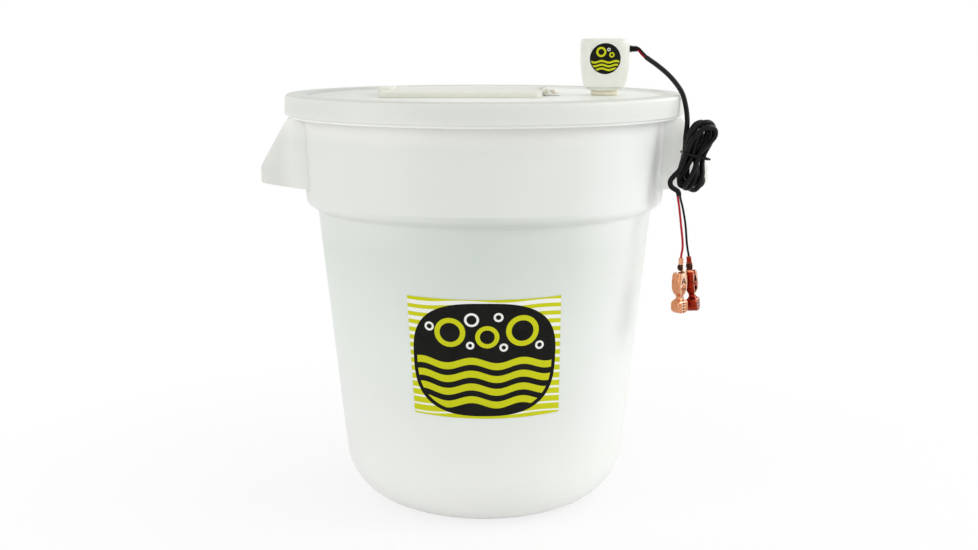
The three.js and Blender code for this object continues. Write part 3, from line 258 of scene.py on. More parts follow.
world = bpy.data.worlds.new("studio")
bpy.context.scene.world = world
studio = emptied(world)
sky = studio.node("ShaderNodeBackground", {}, Color=tone(253, 253, 251), Strength=sky_strength)
page = studio.node("ShaderNodeBackground", {}, Color=(1, 1, 1, 1))
surroundings = studio.node("ShaderNodeMixShader", {}, white_to_eyes(studio), sky, page)
studio.node("ShaderNodeOutputWorld", {}, surroundings)

bpy.ops.mesh.primitive_grid_add(x_subdivisions=24, y_subdivisions=24, size=floor_size)
floor = bpy.context.object
floor.name = "floor"
floor_paint = bpy.data.materials.new("floor_paint")
ground = emptied(floor_paint)
reach = ground.node("ShaderNodeVectorMath", {"operation": "LENGTH"}, ground.place(), output="Value")
share = white_to_eyes(ground) * reach.ramped(shadow_radius, page_radius, 0.8, 1.0)
matt = ground.node("ShaderNodeBsdfDiffuse", {}, Color=tone(238, 238, 238))
glow = ground.node("ShaderNodeEmission", {})
ground.node("ShaderNodeOutputMaterial", {}, ground.node("ShaderNodeMixShader", {}, share, matt, glow))
floor.data.materials.append(floor_paint)
floor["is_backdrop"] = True
print("floor across:", floor_size, "m")

# %% [markdown]
# Three soft lamps stand round the object, as in a small studio: the strongest on the right, a
# weaker one at the front left, and one at the back that keeps the far side from going dull. They
# are discs of more than a metre, because a wide lamp gives milky plastic its soft edges of shade.

# %% Lamps
def lamp(name, place, aim, size, power):
    light = bpy.data.lights.new(name, "AREA")
    light.shape = "DISK"
    light.size = size
    light.energy = power
    piece = bpy.data.objects.new(name, light)
    piece.location = place
    piece.rotation_euler = (Vector(aim) - Vector(place)).to_track_quat("-Z", "Y").to_euler()
    bpy.context.scene.collection.objects.link(piece)


tub_middle = (0, 0, 0.22)
lamp("key", (2.0, -0.6, 1.2), tub_middle, 1.3, 17.8)
lamp("fill", (-1.7, -1.1, 0.8), tub_middle, 1.4, 10)
lamp("back", (1.4, 1.1, 1.2), tub_middle, 1.2, 6.5)
bpy.context.scene.view_settings.view_transform = "Standard"

# %% [markdown]
# Most pieces here were turned, moulded or stamped, so most of them can be told as rings of points.
# A turned piece has its outline as the ring and goes round the axis, and a moulded shell has level
# rings that change size on the way up. One function skins either sort, and all the sizes that are
# written for it are millimetres, as on a drawing. An outline is a list of corners, some rounded.

# %% Outlines
MILLIMETRE = 0.001


def rounded(corners, steps=5):
    """An outline's points from its corners: (x, y), or (x, y, radius) where it is rounded."""
    points = []
    for number, corner in enumerate(corners):
        here = Vector(corner[:2])
        radius = corner[2] if len(corner) > 2 else 0
        if not radius:
            points.append(here)
            continue
        before = (Vector(corners[number - 1][:2]) - here).normalized()
        after = (Vector(corners[(number + 1) % len(corners)][:2]) - here).normalized()
        half = before.angle(after) / 2
        middle = here + (before + after).normalized() * radius / math.sin(half)
        start = here + before * radius / math.tan(half) - middle
        end = here + after * radius / math.tan(half) - middle
        sweep = math.atan2(start.x * end.y - start.y * end.x, start.dot(end))
        for k in range(steps + 1):
            cos, sin = math.cos(sweep * k / steps), math.sin(sweep * k / steps)
            points.append(middle + Vector((start.x * cos - start.y * sin, start.x * sin + start.y * cos)))
    return points


def box_outline(left, right, front, back, radius=0.0, steps=5):
    corners = [(left, front), (right, front), (right, back), (left, back)]
    return rounded([(*corner, radius) for corner in corners], steps)


def inset(outline, amount):
    """The outline drawn in by an amount, for points that run anticlockwise."""
    drawn = []
    for k, point in enumerate(outline):
        after = outline[(k + 1) % len(outline)]
        sides = [(point - outline[k - 1]).normalized(), (after - point).normalized()]
        normals = [Vector((-side.y, side.x)) for side in sides]
        middle = (normals[0] + normals[1]).normalized()
        drawn.append(point + middle * amount / max(middle.dot(normals[0]), 0.3))
    return drawn


print("a rounded square has", len(box_outline(0, 10, 0, 10, 2)), "points")

# %% [markdown]
# A skin is a mesh whose rings are joined by rows of four-sided faces. Two sorts come up again and
# again: a turned piece, whose outline goes round an upright axis, and a slab, an upright prism
# with its top and bottom edges rounded over.

# %% Rings and skins
def as_object(name, mesh):
    bmesh.ops.remove_doubles(mesh, verts=mesh.verts, dist=1e-7)
    bmesh.ops.recalc_face_normals(mesh, faces=mesh.faces)
    data = bpy.data.meshes.new(name)
    mesh.to_mesh(data)
    mesh.free()
    piece = bpy.data.objects.new(name, data)
    bpy.context.scene.collection.objects.link(piece)
    return piece


def skinned(name, rings, loop=False):
    """A closed skin over rings of points in millimetres. In a loop, the last ring meets the first."""
    mesh = bmesh.new()
    rows = [[mesh.verts.new(Vector(point) * MILLIMETRE) for point in ring] for ring in rings]
    for first, second in zip(rows, rows[1:] + rows[:1] if loop else rows[1:]):
        for k in range(len(first)):
            mesh.faces.new((first[k - 1], first[k], second[k], second[k - 1]))
    if not loop:
        mesh.faces.new(rows[0])
        mesh.faces.new(rows[-1])
    return as_object(name, mesh)


def turned(name, outline, sides=48, x=0.0, y=0.0):
    """A turned piece round an upright axis; its outline holds (radius, height)."""
    rings = []
    for k in range(sides):
        angle = 2 * math.pi * k / sides
        cos, sin = math.cos(angle), math.sin(angle)
        rings.append([(x + radius * cos, y + radius * sin, height) for radius, height in outline])
    return skinned(name, rings, loop=True)


def slab(name, outline, low, high, edge=0.0, steps=3):
    """An upright prism whose top and bottom edges are rounded over."""
    rings = []
    for k in range(steps + 1 if edge else 1):
        angle = math.pi / 2 * k / steps
        rings.append((edge * (1 - math.sin(angle)), edge * (1 - math.cos(angle))))
    levels = [(drawn, low + rise) for drawn, rise in rings]
    levels += [(drawn, high - rise) for drawn, rise in reversed(rings)]
    return skinned(name, [[(*point, height) for point in inset(outline, drawn)] for drawn, height in levels])


print("ways to make a skin:", *[way.__name__ for way in (skinned, turned, slab)])

# %% [markdown]
# Pieces are moved, cut and joined in their meshes, so that every object stays at the origin, as
# the frame asks. The exact Boolean solver is slow and careful, which suits clean moulded forms.
# The last helper ends the making of every piece: finish, smooth shading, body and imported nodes.

# %% Moving, cutting and dressing
def turn(angle, axis):
    return Matrix.Rotation(math.radians(angle), 4, axis)


def moved(piece, *steps):
    """Carries out the steps, each a matrix or an (x, y, z) shift in millimetres, in their order."""
    for step in steps:
        matrix = step if isinstance(step, Matrix) else Matrix.Translation(Vector(step) * MILLIMETRE)
        piece.data.transform(matrix)
    if matrix.is_negative:
        piece.data.flip_normals()
    return piece


def settled(piece):
    graph = bpy.context.evaluated_depsgraph_get()
    mesh = bpy.data.meshes.new_from_object(piece.evaluated_get(graph))
    piece.modifiers.clear()
    piece.data = mesh
    return piece


def combined(operation, piece, *others):
    for other in others:
        change = piece.modifiers.new("combined", "BOOLEAN")
        change.operation = operation
        change.solver = "EXACT"
        change.object = other
        settled(piece)
        bpy.data.objects.remove(other)
    return piece


def carved(piece, *cutters):
    return combined("DIFFERENCE", piece, *cutters)


def united(piece, *others):
    return combined("UNION", piece, *others)


def bevelled(piece, width, segments=2, angle=35):
    change = piece.modifiers.new("edges", "BEVEL")
    change.width = width * MILLIMETRE
    change.segments = segments
    change.limit_method = "ANGLE"
    change.angle_limit = math.radians(angle)
    return settled(piece)


def gathered(piece, *others):
    """One object from several closed shells that only touch."""
    mesh = bmesh.new()
    for one in (piece, *others):
        mesh.from_mesh(one.data)
    mesh.to_mesh(piece.data)
    mesh.free()
    for other in others:
        bpy.data.objects.remove(other)
    return piece


def dressed(piece, finish, slot, body, *nodes, sharp=32):
    """Gives a piece its finish, its smooth shading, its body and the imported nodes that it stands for."""
    piece.data.materials.clear()
    piece.data.materials.append(finish.material)
    if piece.type == "MESH":
        piece.data.shade_smooth()
        piece.data.set_sharp_from_angle(angle=math.radians(sharp))
    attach(piece, body)
    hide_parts(*nodes)
    return piece


print("ways to shape a piece:", *[way.__name__ for way in (moved, carved, united, bevelled, gathered)])

# %% [markdown]
# The tub and lid are natural polyethylene, which looks milky. A ramp over the height gives the tub its tone:
# the middle of the wall takes a faint green-grey, the band just under the rim is whitest, as painted light
# against the shadow of the lid's skirt, and the foot is pale again, as painted light from the floor. Cloudy
# noise breaks it up, and a fine bump gives the skin its moulded grain. Painted shade greys the hand grips and
# the upper middle of the wall, and painted light makes the front right of the wall and the front of the foot
# lighter. The lid has its own zones: painted shade darkens the rim's top, the step inside it and the lid
# toward the left, and the rest of the sunk plate is a paler tone. Each zone is a mask made from the place on
# the piece, with soft ends, in metres.

# %% Tone zones of the tub and the lid, painted light and shade among them
grip_start, grip_end, lip_foot = 0.192, 0.204, 0.398
shoulder_height = 0.318
rim_height, plate_radius, step_radius, roll_radius = 0.4212, 0.1836, 0.1849, 0.1988
plate_shade_radii = (0.178, 0.1846)


def tub_zones(finish, base, x, y, z):
    # Painted shade: the hand grips are greyer.
    base = finish.blend(abs(x).ramped(grip_start, grip_end) * (z < lip_foot), base, tone(221, 222, 217))
    # Painted shade: the upper middle of the wall, under the band, is greyer.
    upper_wall = abs(x).ramped(0.01, 0.125, 0.55, 0.0) * z.ramped(0.2, 0.29) * (z < shoulder_height)
    base = finish.blend(upper_wall, base, tone(204, 215, 206))
    # Painted light: the front right of the wall is lighter.
    front = y.ramped(-0.095, -0.03, 1.0, 0.0)
    right = x.ramped(0.08, 0.14, 0.0, 0.68) * (x < 0.19)
    base = finish.blend(right * front, base, tone(251, 253, 252))
    # Painted light: the front of the foot is lighter, as if lit from the floor.
    return finish.blend(z.ramped(0.06, 0.13, 0.7, 0.0) * front, base, tone(252, 253, 249))


def lid_zones(finish, base, x, y, z):
    radius = (x * x + y * y) ** 0.5
    left = x.ramped(-0.19, -0.03, 1.0, 0.0)
    step = (radius > plate_radius) * (radius < step_radius)
    plate_shade = (radius > plate_shade_radii[0]) * (radius < plate_shade_radii[1])
    # Painted shade: the rim's top is darker.
    base = finish.blend(z > rim_height, base, tone(214, 216, 208))
    base = finish.blend(radius < plate_radius, base, tone(248, 250, 244))
    # Painted shade: the step up from the plate to the rim is dark.
    base = finish.blend(step, base, tone(190, 193, 187))
    # Painted shade: the lid inside the roll greys toward the left, most of all in a ring near the step.
    base = finish.blend((radius < roll_radius) * left, base, tone(208, 211, 203))
    return finish.blend(plate_shade * left, base, tone(190, 193, 186))


print("zones:", tub_zones.__name__, lid_zones.__name__)

# %% [markdown]
# All the moulded pieces share one recipe, from the tub to the head. Light goes a little way into
# this plastic before it comes out, so some of it is scattered under the surface.

# %% Moulded plastics
def moulded(name, stops, mottle, roughness, grain_size=700.0, full_height=0.42, zones=None):
    finish = Finish(name, roughness=roughness, specular_ior_level=0.42, subsurface_weight=0.25,
                    subsurface_radius=(1.0, 0.95, 0.85), subsurface_scale=0.012)
    x, y, z = finish.place_parts()
    base = finish.node("ShaderNodeValToRGB", {"stops": stops}, z / full_height)
    if zones:
        base = zones(finish, base, x, y, z)
    cloud = finish.noise(9.0, detail=4.0)
    shaded = finish.blend(cloud * mottle, base, tone(196, 206, 198))
    speck = finish.noise(260.0, detail=2.0)
    finish.feed("Base Color", finish.blend((speck > 0.72) * 0.05, shaded, tone(186, 190, 180)))
    finish.feed("Roughness", roughness + (finish.noise(38.0, detail=3.0) - 0.5) * 0.16)
    finish.grain(finish.noise(grain_size, detail=3.0) + finish.noise(55.0) * 0.8, 0.16, 0.0005)
    return finish


# Over the height the middle of the wall takes a faint green-grey; the pale foot is painted light from the
# floor, and the whitest stop, just under the rim's lip, is painted light against the shadow of the lid's
# skirt.
milky_tone_and_light_stops = [
    (0.0, tone(241, 242, 238)), (0.16, tone(241, 242, 238)), (0.42, tone(234, 239, 233)),
    (0.66, tone(222, 229, 222)), (0.76, tone(234, 236, 231)), (0.9, tone(235, 236, 231)),
    (0.945, tone(250, 250, 246)),
]
milky_plastic = moulded("milky_plastic", milky_tone_and_light_stops, 0.18, 0.36, zones=tub_zones)
lid_stops = [(0.9, tone(231, 233, 226)), (1.0, tone(231, 233, 226))]
lid_plastic = moulded("lid_plastic", lid_stops, 0.2, 0.4, zones=lid_zones)
door_plastic = moulded("door_plastic", [(0.9, tone(230, 230, 218)), (1.0, tone(232, 231, 219))], 0.16, 0.4)
# The head's ramp is painted light: the head is palest at its foot, just above the lid.
ivory_lit_foot_stops = [(0.85, tone(252, 252, 243)), (0.89, tone(242, 242, 232)), (0.93, tone(236, 236, 226))]
ivory_plastic = moulded("ivory_plastic", ivory_lit_foot_stops, 0.1, 0.3, grain_size=1500.0, full_height=0.5)
grey_stops = [(0.0, tone(152, 157, 154)), (1.0, tone(160, 165, 162))]
grey_plastic = moulded("grey_plastic", grey_stops, 0.2, 0.45, grain_size=1200.0)
print("plastics:", len(bpy.data.materials))

# %% [markdown]
# The cord's jacket is soft black vinyl that takes a greyish shine, the red wire is a darker, duller
# red than paint, and the gasket is tan sponge. All three are rubbery, so they share one recipe:
# two close tones mixed by noise, a roughness that wanders, and a bump of fine pores.

# %% Rubbers and wire sheaths
def rubbery(name, dark, light, roughness, pores, depth, shine=0.5):
    finish = Finish(name, roughness=roughness, specular_ior_level=shine)
    cloud = finish.noise(130.0, detail=4.0)
    finish.feed("Base Color", finish.blend(cloud, dark, light))
    finish.feed("Roughness", roughness + (finish.noise(420.0, detail=2.0) - 0.5) * 0.24)
    finish.grain(finish.noise(pores, detail=3.0), depth, 0.0003)
    return finish


black_rubber = rubbery("black_rubber", tone(5, 5, 5), tone(16, 14, 16), 0.34, 1400.0, 0.12, shine=0.16)
red_sheath = rubbery("red_sheath", tone(150, 10, 24), tone(188, 20, 36), 0.4, 1400.0, 0.12, shine=0.2)
tan_rubber = rubbery("tan_rubber", tone(226, 218, 194), tone(243, 236, 216), 0.75, 900.0, 0.5)
print("rubbers:", *[finish.material.name for finish in (black_rubber, red_sheath, tan_rubber)])

# %% [markdown]
# The clips are stamped from thin sheet and flashed with copper, which has dulled unevenly: warm pink where it
# is fresh, browner where it has been handled, with fine rolling lines along the sheet. On its sharp bends a
# painted highlight gives a bright edge, and Geometry's Pointiness finds those bends. The clips' screws and
# cup washers are dark bronze, darker still as painted shade where the top of each clip lies in shadow; the
# hinges' screws, nuts and pins are pale brass, and the shafts, springs and motor are plated steel.

# %% Metals
def metallic(name, bright, dull, tarnish, roughness, line_stretch=(1, 1, 0.08), highlight_edge=None):
    finish = Finish(name, roughness=roughness, metallic=1.0)
    patch = finish.noise(190.0, detail=5.0, rough=0.65)
    wear_and_highlight = finish.blend(patch * tarnish, bright, dull)
    lines = finish.noise(2600.0, detail=2.0, stretch=line_stretch)
    wear_and_highlight = finish.blend((lines > 0.62) * 0.16, wear_and_highlight, dull)
    # Painted highlight: the sharp bends that Pointiness finds take the edge tone.
    if highlight_edge:
        bends = finish.node("ShaderNodeNewGeometry", {}, output="Pointiness")
        wear_and_highlight = finish.blend(bends.ramped(0.53, 0.58), wear_and_highlight, highlight_edge)
    finish.feed("Base Color", wear_and_highlight)
    finish.feed("Roughness", roughness + (patch - 0.5) * 0.2 + (lines - 0.5) * 0.12)
    finish.grain(lines, 0.14, 0.0002)
    return finish


# Painted highlight tones for the bends of the two clips.
bright_clip_highlight, dark_clip_highlight = tone(255, 224, 198), tone(250, 178, 140)
bright_copper = metallic(
    "bright_copper", tone(238, 172, 130), tone(180, 98, 62), 0.85, 0.24, highlight_edge=bright_clip_highlight)
dark_copper = metallic("dark_copper", tone(176, 52, 28), tone(92, 22, 14), 0.95, 0.24, highlight_edge=dark_clip_highlight)
# Near-white copper for the flanges' rolled beads: a painted highlight.
highlight_copper = metallic("highlight_copper", tone(255, 228, 206), tone(240, 186, 150), 0.5, 0.3)
# Dark bronze for the clips' screws and cup washers, darkened as painted shade.
shade_dark_bronze = metallic("shade_dark_bronze", tone(92, 62, 50), tone(36, 22, 20), 0.7, 0.3)
brass = metallic("brass", tone(214, 186, 120), tone(150, 118, 66), 0.6, 0.32)
pale_brass = metallic("pale_brass", tone(236, 230, 214), tone(206, 198, 176), 0.6, 0.4)
zinc_steel = metallic("zinc_steel", tone(206, 208, 210), tone(146, 148, 150), 0.5, 0.28)
print("finishes so far:", [material.name for material in bpy.data.materials])

# %% [markdown]
# The cord comes before the pieces round it, because its route is fixed by the imported model. Listed points
# carry it out of the head and down beside the tub. The long middle is wound into a hank: nested loops in four
# layers, drawn in at the waist by a tie, round a slightly bent axis.
# The axis comes first. It is one Bezier curve, read as many short steps of known length.

# %% The hank's axis
hank_axis = [Vector(point) for point in ((199.5, 330.5), (193.5, 364.2), (215.5, 400.0))]
hank_turn_pitch = 6.1
hank_layer_pitch = 5.7
hank_waist = 10.2
hank_end_radius = 13.5
hank_middle_y = -90.0
hank_top_twist, hank_foot_twist = math.radians(35), math.radians(-60)
hank_fan = 0.3
hank_layers = 4
hank_reversals = (1.25, 2.75, 4.25)
hank_run_in, hank_run_out = 9, 4.4
axis_steps = 400


def bezier(points, share):
    rest = 1 - share
    return points[0] * rest * rest + points[1] * 2 * rest * share + points[2] * share * share


axis_points = [bezier(hank_axis, k / axis_steps) for k in range(axis_steps + 1)]
axis_reach = [0.0]
for first, second in zip(axis_points, axis_points[1:]):
    axis_reach.append(axis_reach[-1] + (second - first).length)
hank_half = axis_reach[-1] / 2
run_half = hank_half - hank_end_radius
hank_arc = math.pi * hank_end_radius
loop_length = 2 * hank_arc + 4 * run_half


def axis_at(share):
    """The point and the direction of the hank's axis at a share of its length."""
    wanted = share * axis_reach[-1]
    k = max(1, next(k for k, reached in enumerate(axis_reach) if reached >= wanted - 1e-9))
    start = axis_points[k - 1]
    span = axis_points[k] - start
    place = start + span * (wanted - axis_reach[k - 1]) / (axis_reach[k] - axis_reach[k - 1])
    return place, span.normalized()


print("the hank's axis is", round(axis_reach[-1]), "mm long")

# %% [markdown]
# The winding is one unbroken line, told by its number of turns so far. Each loop is a long run
# down, a half circle, a run up and another half circle. The layers wind inward and outward by
# turns, and toward both ends they fan out and turn about the axis, as a squeezed hank does.

# %% The hank's winding
def outer_loop(turns):
    """The outermost loop: the place along and across the axis, and the direction inward."""
    distance = (turns - math.floor(turns)) * loop_length
    half = loop_length / 2
    mirrored = distance > half
    travelled = loop_length - distance if mirrored else distance
    if travelled < hank_arc / 2 or travelled > half - hank_arc / 2:
        top = travelled < hank_arc / 2
        angle = (travelled if top else half - travelled) / hank_end_radius
        end = 1 if top else -1
        along = end * (run_half + hank_end_radius * math.cos(angle))
        across = -hank_end_radius * math.sin(angle)
        in_along, in_across = -end * math.cos(angle), math.sin(angle)
    else:
        along = run_half - (travelled - hank_arc / 2)
        swell = (1 - math.cos(math.pi * along / run_half)) / 2
        across = -hank_waist - (hank_end_radius - hank_waist) * swell
        in_along, in_across = 0.0, 1.0
    return (along, -across, in_along, -in_across) if mirrored else (along, across, in_along, in_across)


def hank_section(across, layer, share):
    """From the waist to each end the loops turn about the hank's axis and their layers fan out."""
    end = min(abs(share), 1)
    end = end * end * (3 - 2 * end)
    angle = end * (hank_top_twist if share > 0 else hank_foot_twist)
    depth = ((hank_layers - 1) / 2 - layer) * hank_layer_pitch * (1 + hank_fan * end)
    cos, sin = math.cos(angle), math.sin(angle)
    return across * cos - depth * sin, across * sin + depth * cos


def hank_point(turns):
    folds = sum(turns > reversal for reversal in hank_reversals)
    start = hank_reversals[0] if folds < 2 else hank_reversals[2]
    inward = (turns - start) * (1 if folds % 2 == 0 else -1)
    turns_in = hank_reversals[1] - hank_reversals[0] + inward
    layer = sum(min(max((turns - reversal + 0.25) * 2, 0), 1) for reversal in hank_reversals)
    along, across, in_along, in_across = outer_loop(turns)
    along += turns_in * hank_turn_pitch * in_along
    across += turns_in * hank_turn_pitch * in_across
    share = min(max(along / hank_half, -1), 1)
    spine, direction = axis_at((share + 1) / 2)
    across, depth = hank_section(across, layer, share)
    return Vector((spine.x + across * direction.y, hank_middle_y + depth, spine.y - across * direction.x))


def spread(low, high, count):
    """Numbers in equal steps from low to high."""
    return [low + (high - low) * k / count for k in range(count + 1)]


first_turn = 0.25 - hank_run_in / loop_length
last_turn = 5.25 + hank_run_out / loop_length
hank_steps = 250
hank_line = [hank_point(turns) for turns in spread(first_turn, last_turn, hank_steps)]
print("the hank holds", round(sum((b - a).length for a, b in zip(hank_line, hank_line[1:]))), "mm of cable")

# %% [markdown]
# A smooth curve through listed points is a Catmull-Rom spline. The centripetal kind never makes a loop of its
# own between two close points, so the cord stays as calm as it was drawn.
# The result is a Blender curve with a round bevel, which is what a cable is.

# %% Smooth routes
def centripetal(points, share_steps=6):
    points = [Vector(point) for point in points]
    ends = [points[0] * 2 - points[1], *points, points[-1] * 2 - points[-2]]
    line = [points[0]]
    for k in range(1, len(ends) - 2):
        a, b, c, d = ends[k - 1:k + 3]
        times = [0.0]
        for first, second in ((a, b), (b, c), (c, d)):
            times.append(times[-1] + math.sqrt((second - first).length))
        for step in range(1, share_steps + 1):
            time = times[1] + (times[2] - times[1]) * step / share_steps

            def between(pair, start, end):
                first, second = pair
                return first * ((end - time) / (end - start)) + second * ((time - start) / (end - start))

            lows = [between(pair, *times[n:n + 2]) for n, pair in enumerate(((a, b), (b, c), (c, d)))]
            middles = [between(lows[n:n + 2], times[n], times[n + 2]) for n in range(2)]
            line.append(between(middles, times[1], times[2]))
    return line


def cord_curve(name, line, radius, sides=16):
    data = bpy.data.curves.new(name, "CURVE")
    data.dimensions = "3D"
    data.bevel_depth = radius * MILLIMETRE
    data.bevel_resolution = sides // 4
    data.use_fill_caps = True
    spline = data.splines.new("POLY")
    spline.points.add(len(line) - 1)
    for point, place in zip(spline.points, line):
        point.co = (*(place * MILLIMETRE), 1.0)
    spline.use_smooth = True
    piece = bpy.data.objects.new(name, data)
    bpy.context.scene.collection.objects.link(piece)
    return piece


def line_length(line):
    return sum((second - first).length for first, second in zip(line, line[1:])) * MILLIMETRE


cable_radius = 2.5
wire_radius = 1.1
drop_route = [
    (164, -9, 457.8), (173.8, -25, 449.9), (181.9, -40, 442), (188.2, -53.4, 433.6), (192.9, -66, 424.2),
    (194.9, -75, 413.6), (195.9, -79.8, 403.5), (196, -81.6, 395.5), (195.4, -82.2, 389.5),
]
tail_route = [
    (189.2, -99.5, 356.2), (185.9, -100.2, 351.6), (181.4, -100.3, 347), (178.4, -100, 342),
    (179.6, -99.6, 337), (183.2, -99, 334.4), (185.6, -98.7, 332.9), (186.9, -98.4, 330.7),
    (187.3, -98.2, 328.3),
]
hank_in = (hank_line[1] - hank_line[0]).normalized()
hank_out = (hank_line[-1] - hank_line[-2]).normalized()
drop_line = centripetal([*drop_route, hank_line[0] - hank_in * 2 * cable_radius, hank_line[0]])
tail_line = centripetal([hank_line[-1], hank_line[-1] + hank_out * cable_radius, *tail_route])
cable_line = [*drop_line, *hank_line[1:], *tail_line[1:]]
cable = cord_curve("cable", cable_line, cable_radius, sides=24)
dressed(cable, black_rubber, "black_rubber", "lid", "cable_drop", "cable_hank", "cable_tail")
print("cable", round(line_length(cable_line), 3), "m")

# %% [markdown]
# Two thin wires show where the jacket begins, just outside the head, and again below the hank,
# where each of them runs on to its clip. They are made as the cable is, in red and in black.

# %% Wires and leads
sheaths = {"black": (black_rubber, "black_rubber"), "red": (red_sheath, "red_sheath")}
short_routes = {
    "black": [(153.3, 0, 467.55), (156.4, -0.2, 467.3), (160.4, -3.9, 463.2), (164.1, -9.15, 458.95)],
    "red": [(153.3, 0, 465.45), (156, -0.1, 465.2), (159.6, -3.2, 461.1), (163.6, -8.45, 456.8)],
}
for tint, route in short_routes.items():
    wire = cord_curve(f"wire_{tint}_stub", centripetal(route), wire_radius)
    dressed(wire, *sheaths[tint], "lid", f"wire_{tint}_top")

lead_routes = {
    "red": [
        (186.15, -98.2, 327.9), (186.5, -98.2, 325.5), (188, -97.8, 316.9), (190.3, -97.4, 299.3),
        (192.3, -97.4, 282.1), (192.3, -97.5, 275.7), (191.4, -97.7, 270.6), (191.14, -97.7, 267.6),
        (191.14, -97.7, 262.8),
    ],
    "black": [
        (188.45, -98.2, 327.9), (188.9, -98.1, 325.5), (191.7, -96.4, 315.9), (195.1, -93.8, 299.3),
        (197.6, -90, 280), (199.3, -87.2, 272), (200.02, -86.45, 269), (200.25, -86.41, 267),
        (200.74, -86.41, 262.7),
    ],
}
lead_lines = {tint: centripetal(route) for tint, route in lead_routes.items()}
leads = {tint: cord_curve(f"lead_{tint}_sheath", line, wire_radius) for tint, line in lead_lines.items()}
for tint, lead in leads.items():
    dressed(lead, *sheaths[tint], "lid", f"lead_{tint}")
    print(tint, "lead:", round(line_length(lead_lines[tint]), 3), "m")

# %% [markdown]
# A soft wire tie holds the hank at its waist. Its band runs round all the turns, so it is a loop
# of small rounded sections that follows a rounded rectangle, and its two ends are twisted
# together on the outer side.

# %% The tie
waist, waist_direction = axis_at(0.5)
tie_left, tie_right, tie_depth = -9.95, 13.0, 11.35
tie_thickness, tie_half_width = 1.3, 1.2
twist_length, twist_radius, strand_radius = 2.6, 0.7, 0.7
tie_lean = math.degrees(math.atan2(waist_direction.x, waist_direction.y))


def tie_band():
    rings = []
    path = box_outline(tie_left, tie_right, -tie_depth, tie_depth, cable_radius, 8)
    outer = inset(path, -tie_thickness)
    section = box_outline(0, 1, -tie_half_width, tie_half_width, 0.4, 3)
    for inner_point, outer_point in zip(path, outer):
        across = outer_point - inner_point
        rings.append([(*(inner_point + across * point.x), point.y) for point in section])
    return skinned("hank_tie_band", rings, loop=True)


def spoke(radius, angle):
    return Vector((0, radius * math.cos(angle), radius * math.sin(angle)))


def strand(name, start, phase, steps=12, sides=8):
    """One end of the tie, which makes one turn round the other as it narrows."""
    bends = [2 * math.pi * side / sides for side in range(sides)]
    rings = []
    for k in range(steps + 1):
        reach = twist_radius * (1 - 0.3 * k / steps)
        middle = Vector(start) + Vector((twist_length * k / steps, 0, 0))
        middle += spoke(reach, phase + 2 * math.pi * k / steps)
        rings.append([middle + spoke(strand_radius, bend) for bend in bends])
    return skinned(name, rings)


twist_start = (tie_right + 1.0, -tie_depth / 2, 0)
tie = gathered(tie_band(), strand("end_a", twist_start, 0.0), strand("end_b", twist_start, math.pi))
moved(tie, turn(tie_lean, "Y"), (waist.x, hank_middle_y, waist.y))
dressed(tie, black_rubber, "black_rubber", "lid", "hank_tie")
print("tie at", [round(size) for size in (waist.x, hank_middle_y, waist.y)])

# %% [markdown]
# The tub is thin for its size: one wall of 3.2 mm runs from a ring foot up to a shoulder, a
# wider band and a rolled rim whose lip turns down outside. All of that is one outline, turned.
# The corner radii are part of the outline, so they catch the light as the moulded ones do.

# %% Tub
tub_outline = rounded([
    (0, 2.5), (60, 2.5, 1), (62, 0, 0.8), (140.4, 0, 60), (171.5, 306.5, 4), (182.8, 313, 9),
    (187.5, 416.2, 1.2), (197.1, 416.2, 1), (196.4, 399.5, 1), (199.4, 399.5, 1), (200.1, 419.6, 3),
    (184.3, 419.6, 1.5), (179.6, 314.6, 5.8), (168.3, 308.1, 7.2), (137.2, 5.7, 56.8), (0, 5.7),
], 8)
tub = turned("tub_shell", tub_outline, sides=160)
dressed(tub, milky_plastic, "milky_plastic", "tub", "tub_body", sharp=40)
print("tub outline:", len(tub_outline), "points")

# %% [markdown]
# Each hand grip is a hollow hood, open underneath, whose roof slopes down from under the lip. The
# hood is what three simple forms share: a side view, a plan with rounded corners, and a cone that
# keeps it under the lip. The same forms a wall thinner are cut out, and so is the tub's inside.

# %% Hand grips
grip_root, grip_tip, grip_tip_top = 168.2, 224.6, 349.5
grip_root_half, grip_tip_half, grip_corner = 62.9, 48, 14
grip_roof_slope = 50 / 29.7
grip_wall = 3.0


def grip_form(wall, edge):
    tip = grip_tip - wall
    roof_drop = wall * math.hypot(1, 1 / grip_roof_slope) * grip_roof_slope
    tip_top = grip_tip_top - roof_drop + wall * grip_roof_slope
    below = 2.0 if wall else 0.0
    side = rounded([
        (grip_root, 328.4 - below), (tip, 335.0 - below, 0 if wall else 3), (tip, tip_top, 3),
        (grip_root, tip_top + (tip - grip_root) * grip_roof_slope),
    ], 6)
    hood = skinned("grip", [[(point.x, y, point.y) for point in side] for y in (-64, 64)])
    root_half, tip_half, corner = grip_root_half - wall, grip_tip_half - wall, grip_corner - wall
    plan = rounded([
        (grip_root, -root_half), (tip, -tip_half, corner), (tip, tip_half, corner), (grip_root, root_half),
    ], 10)
    combined("INTERSECT", hood, slab("plan", plan, 300, 430))
    low_cone = [(0, 200), (249.1, 200), (249.1, 362), (203 - wall, 399.5), (0, 399.5)]
    combined("INTERSECT", hood, turned("cone", [Vector(point) for point in low_cone], sides=160))
    return bevelled(hood, edge, segments=3) if edge else hood


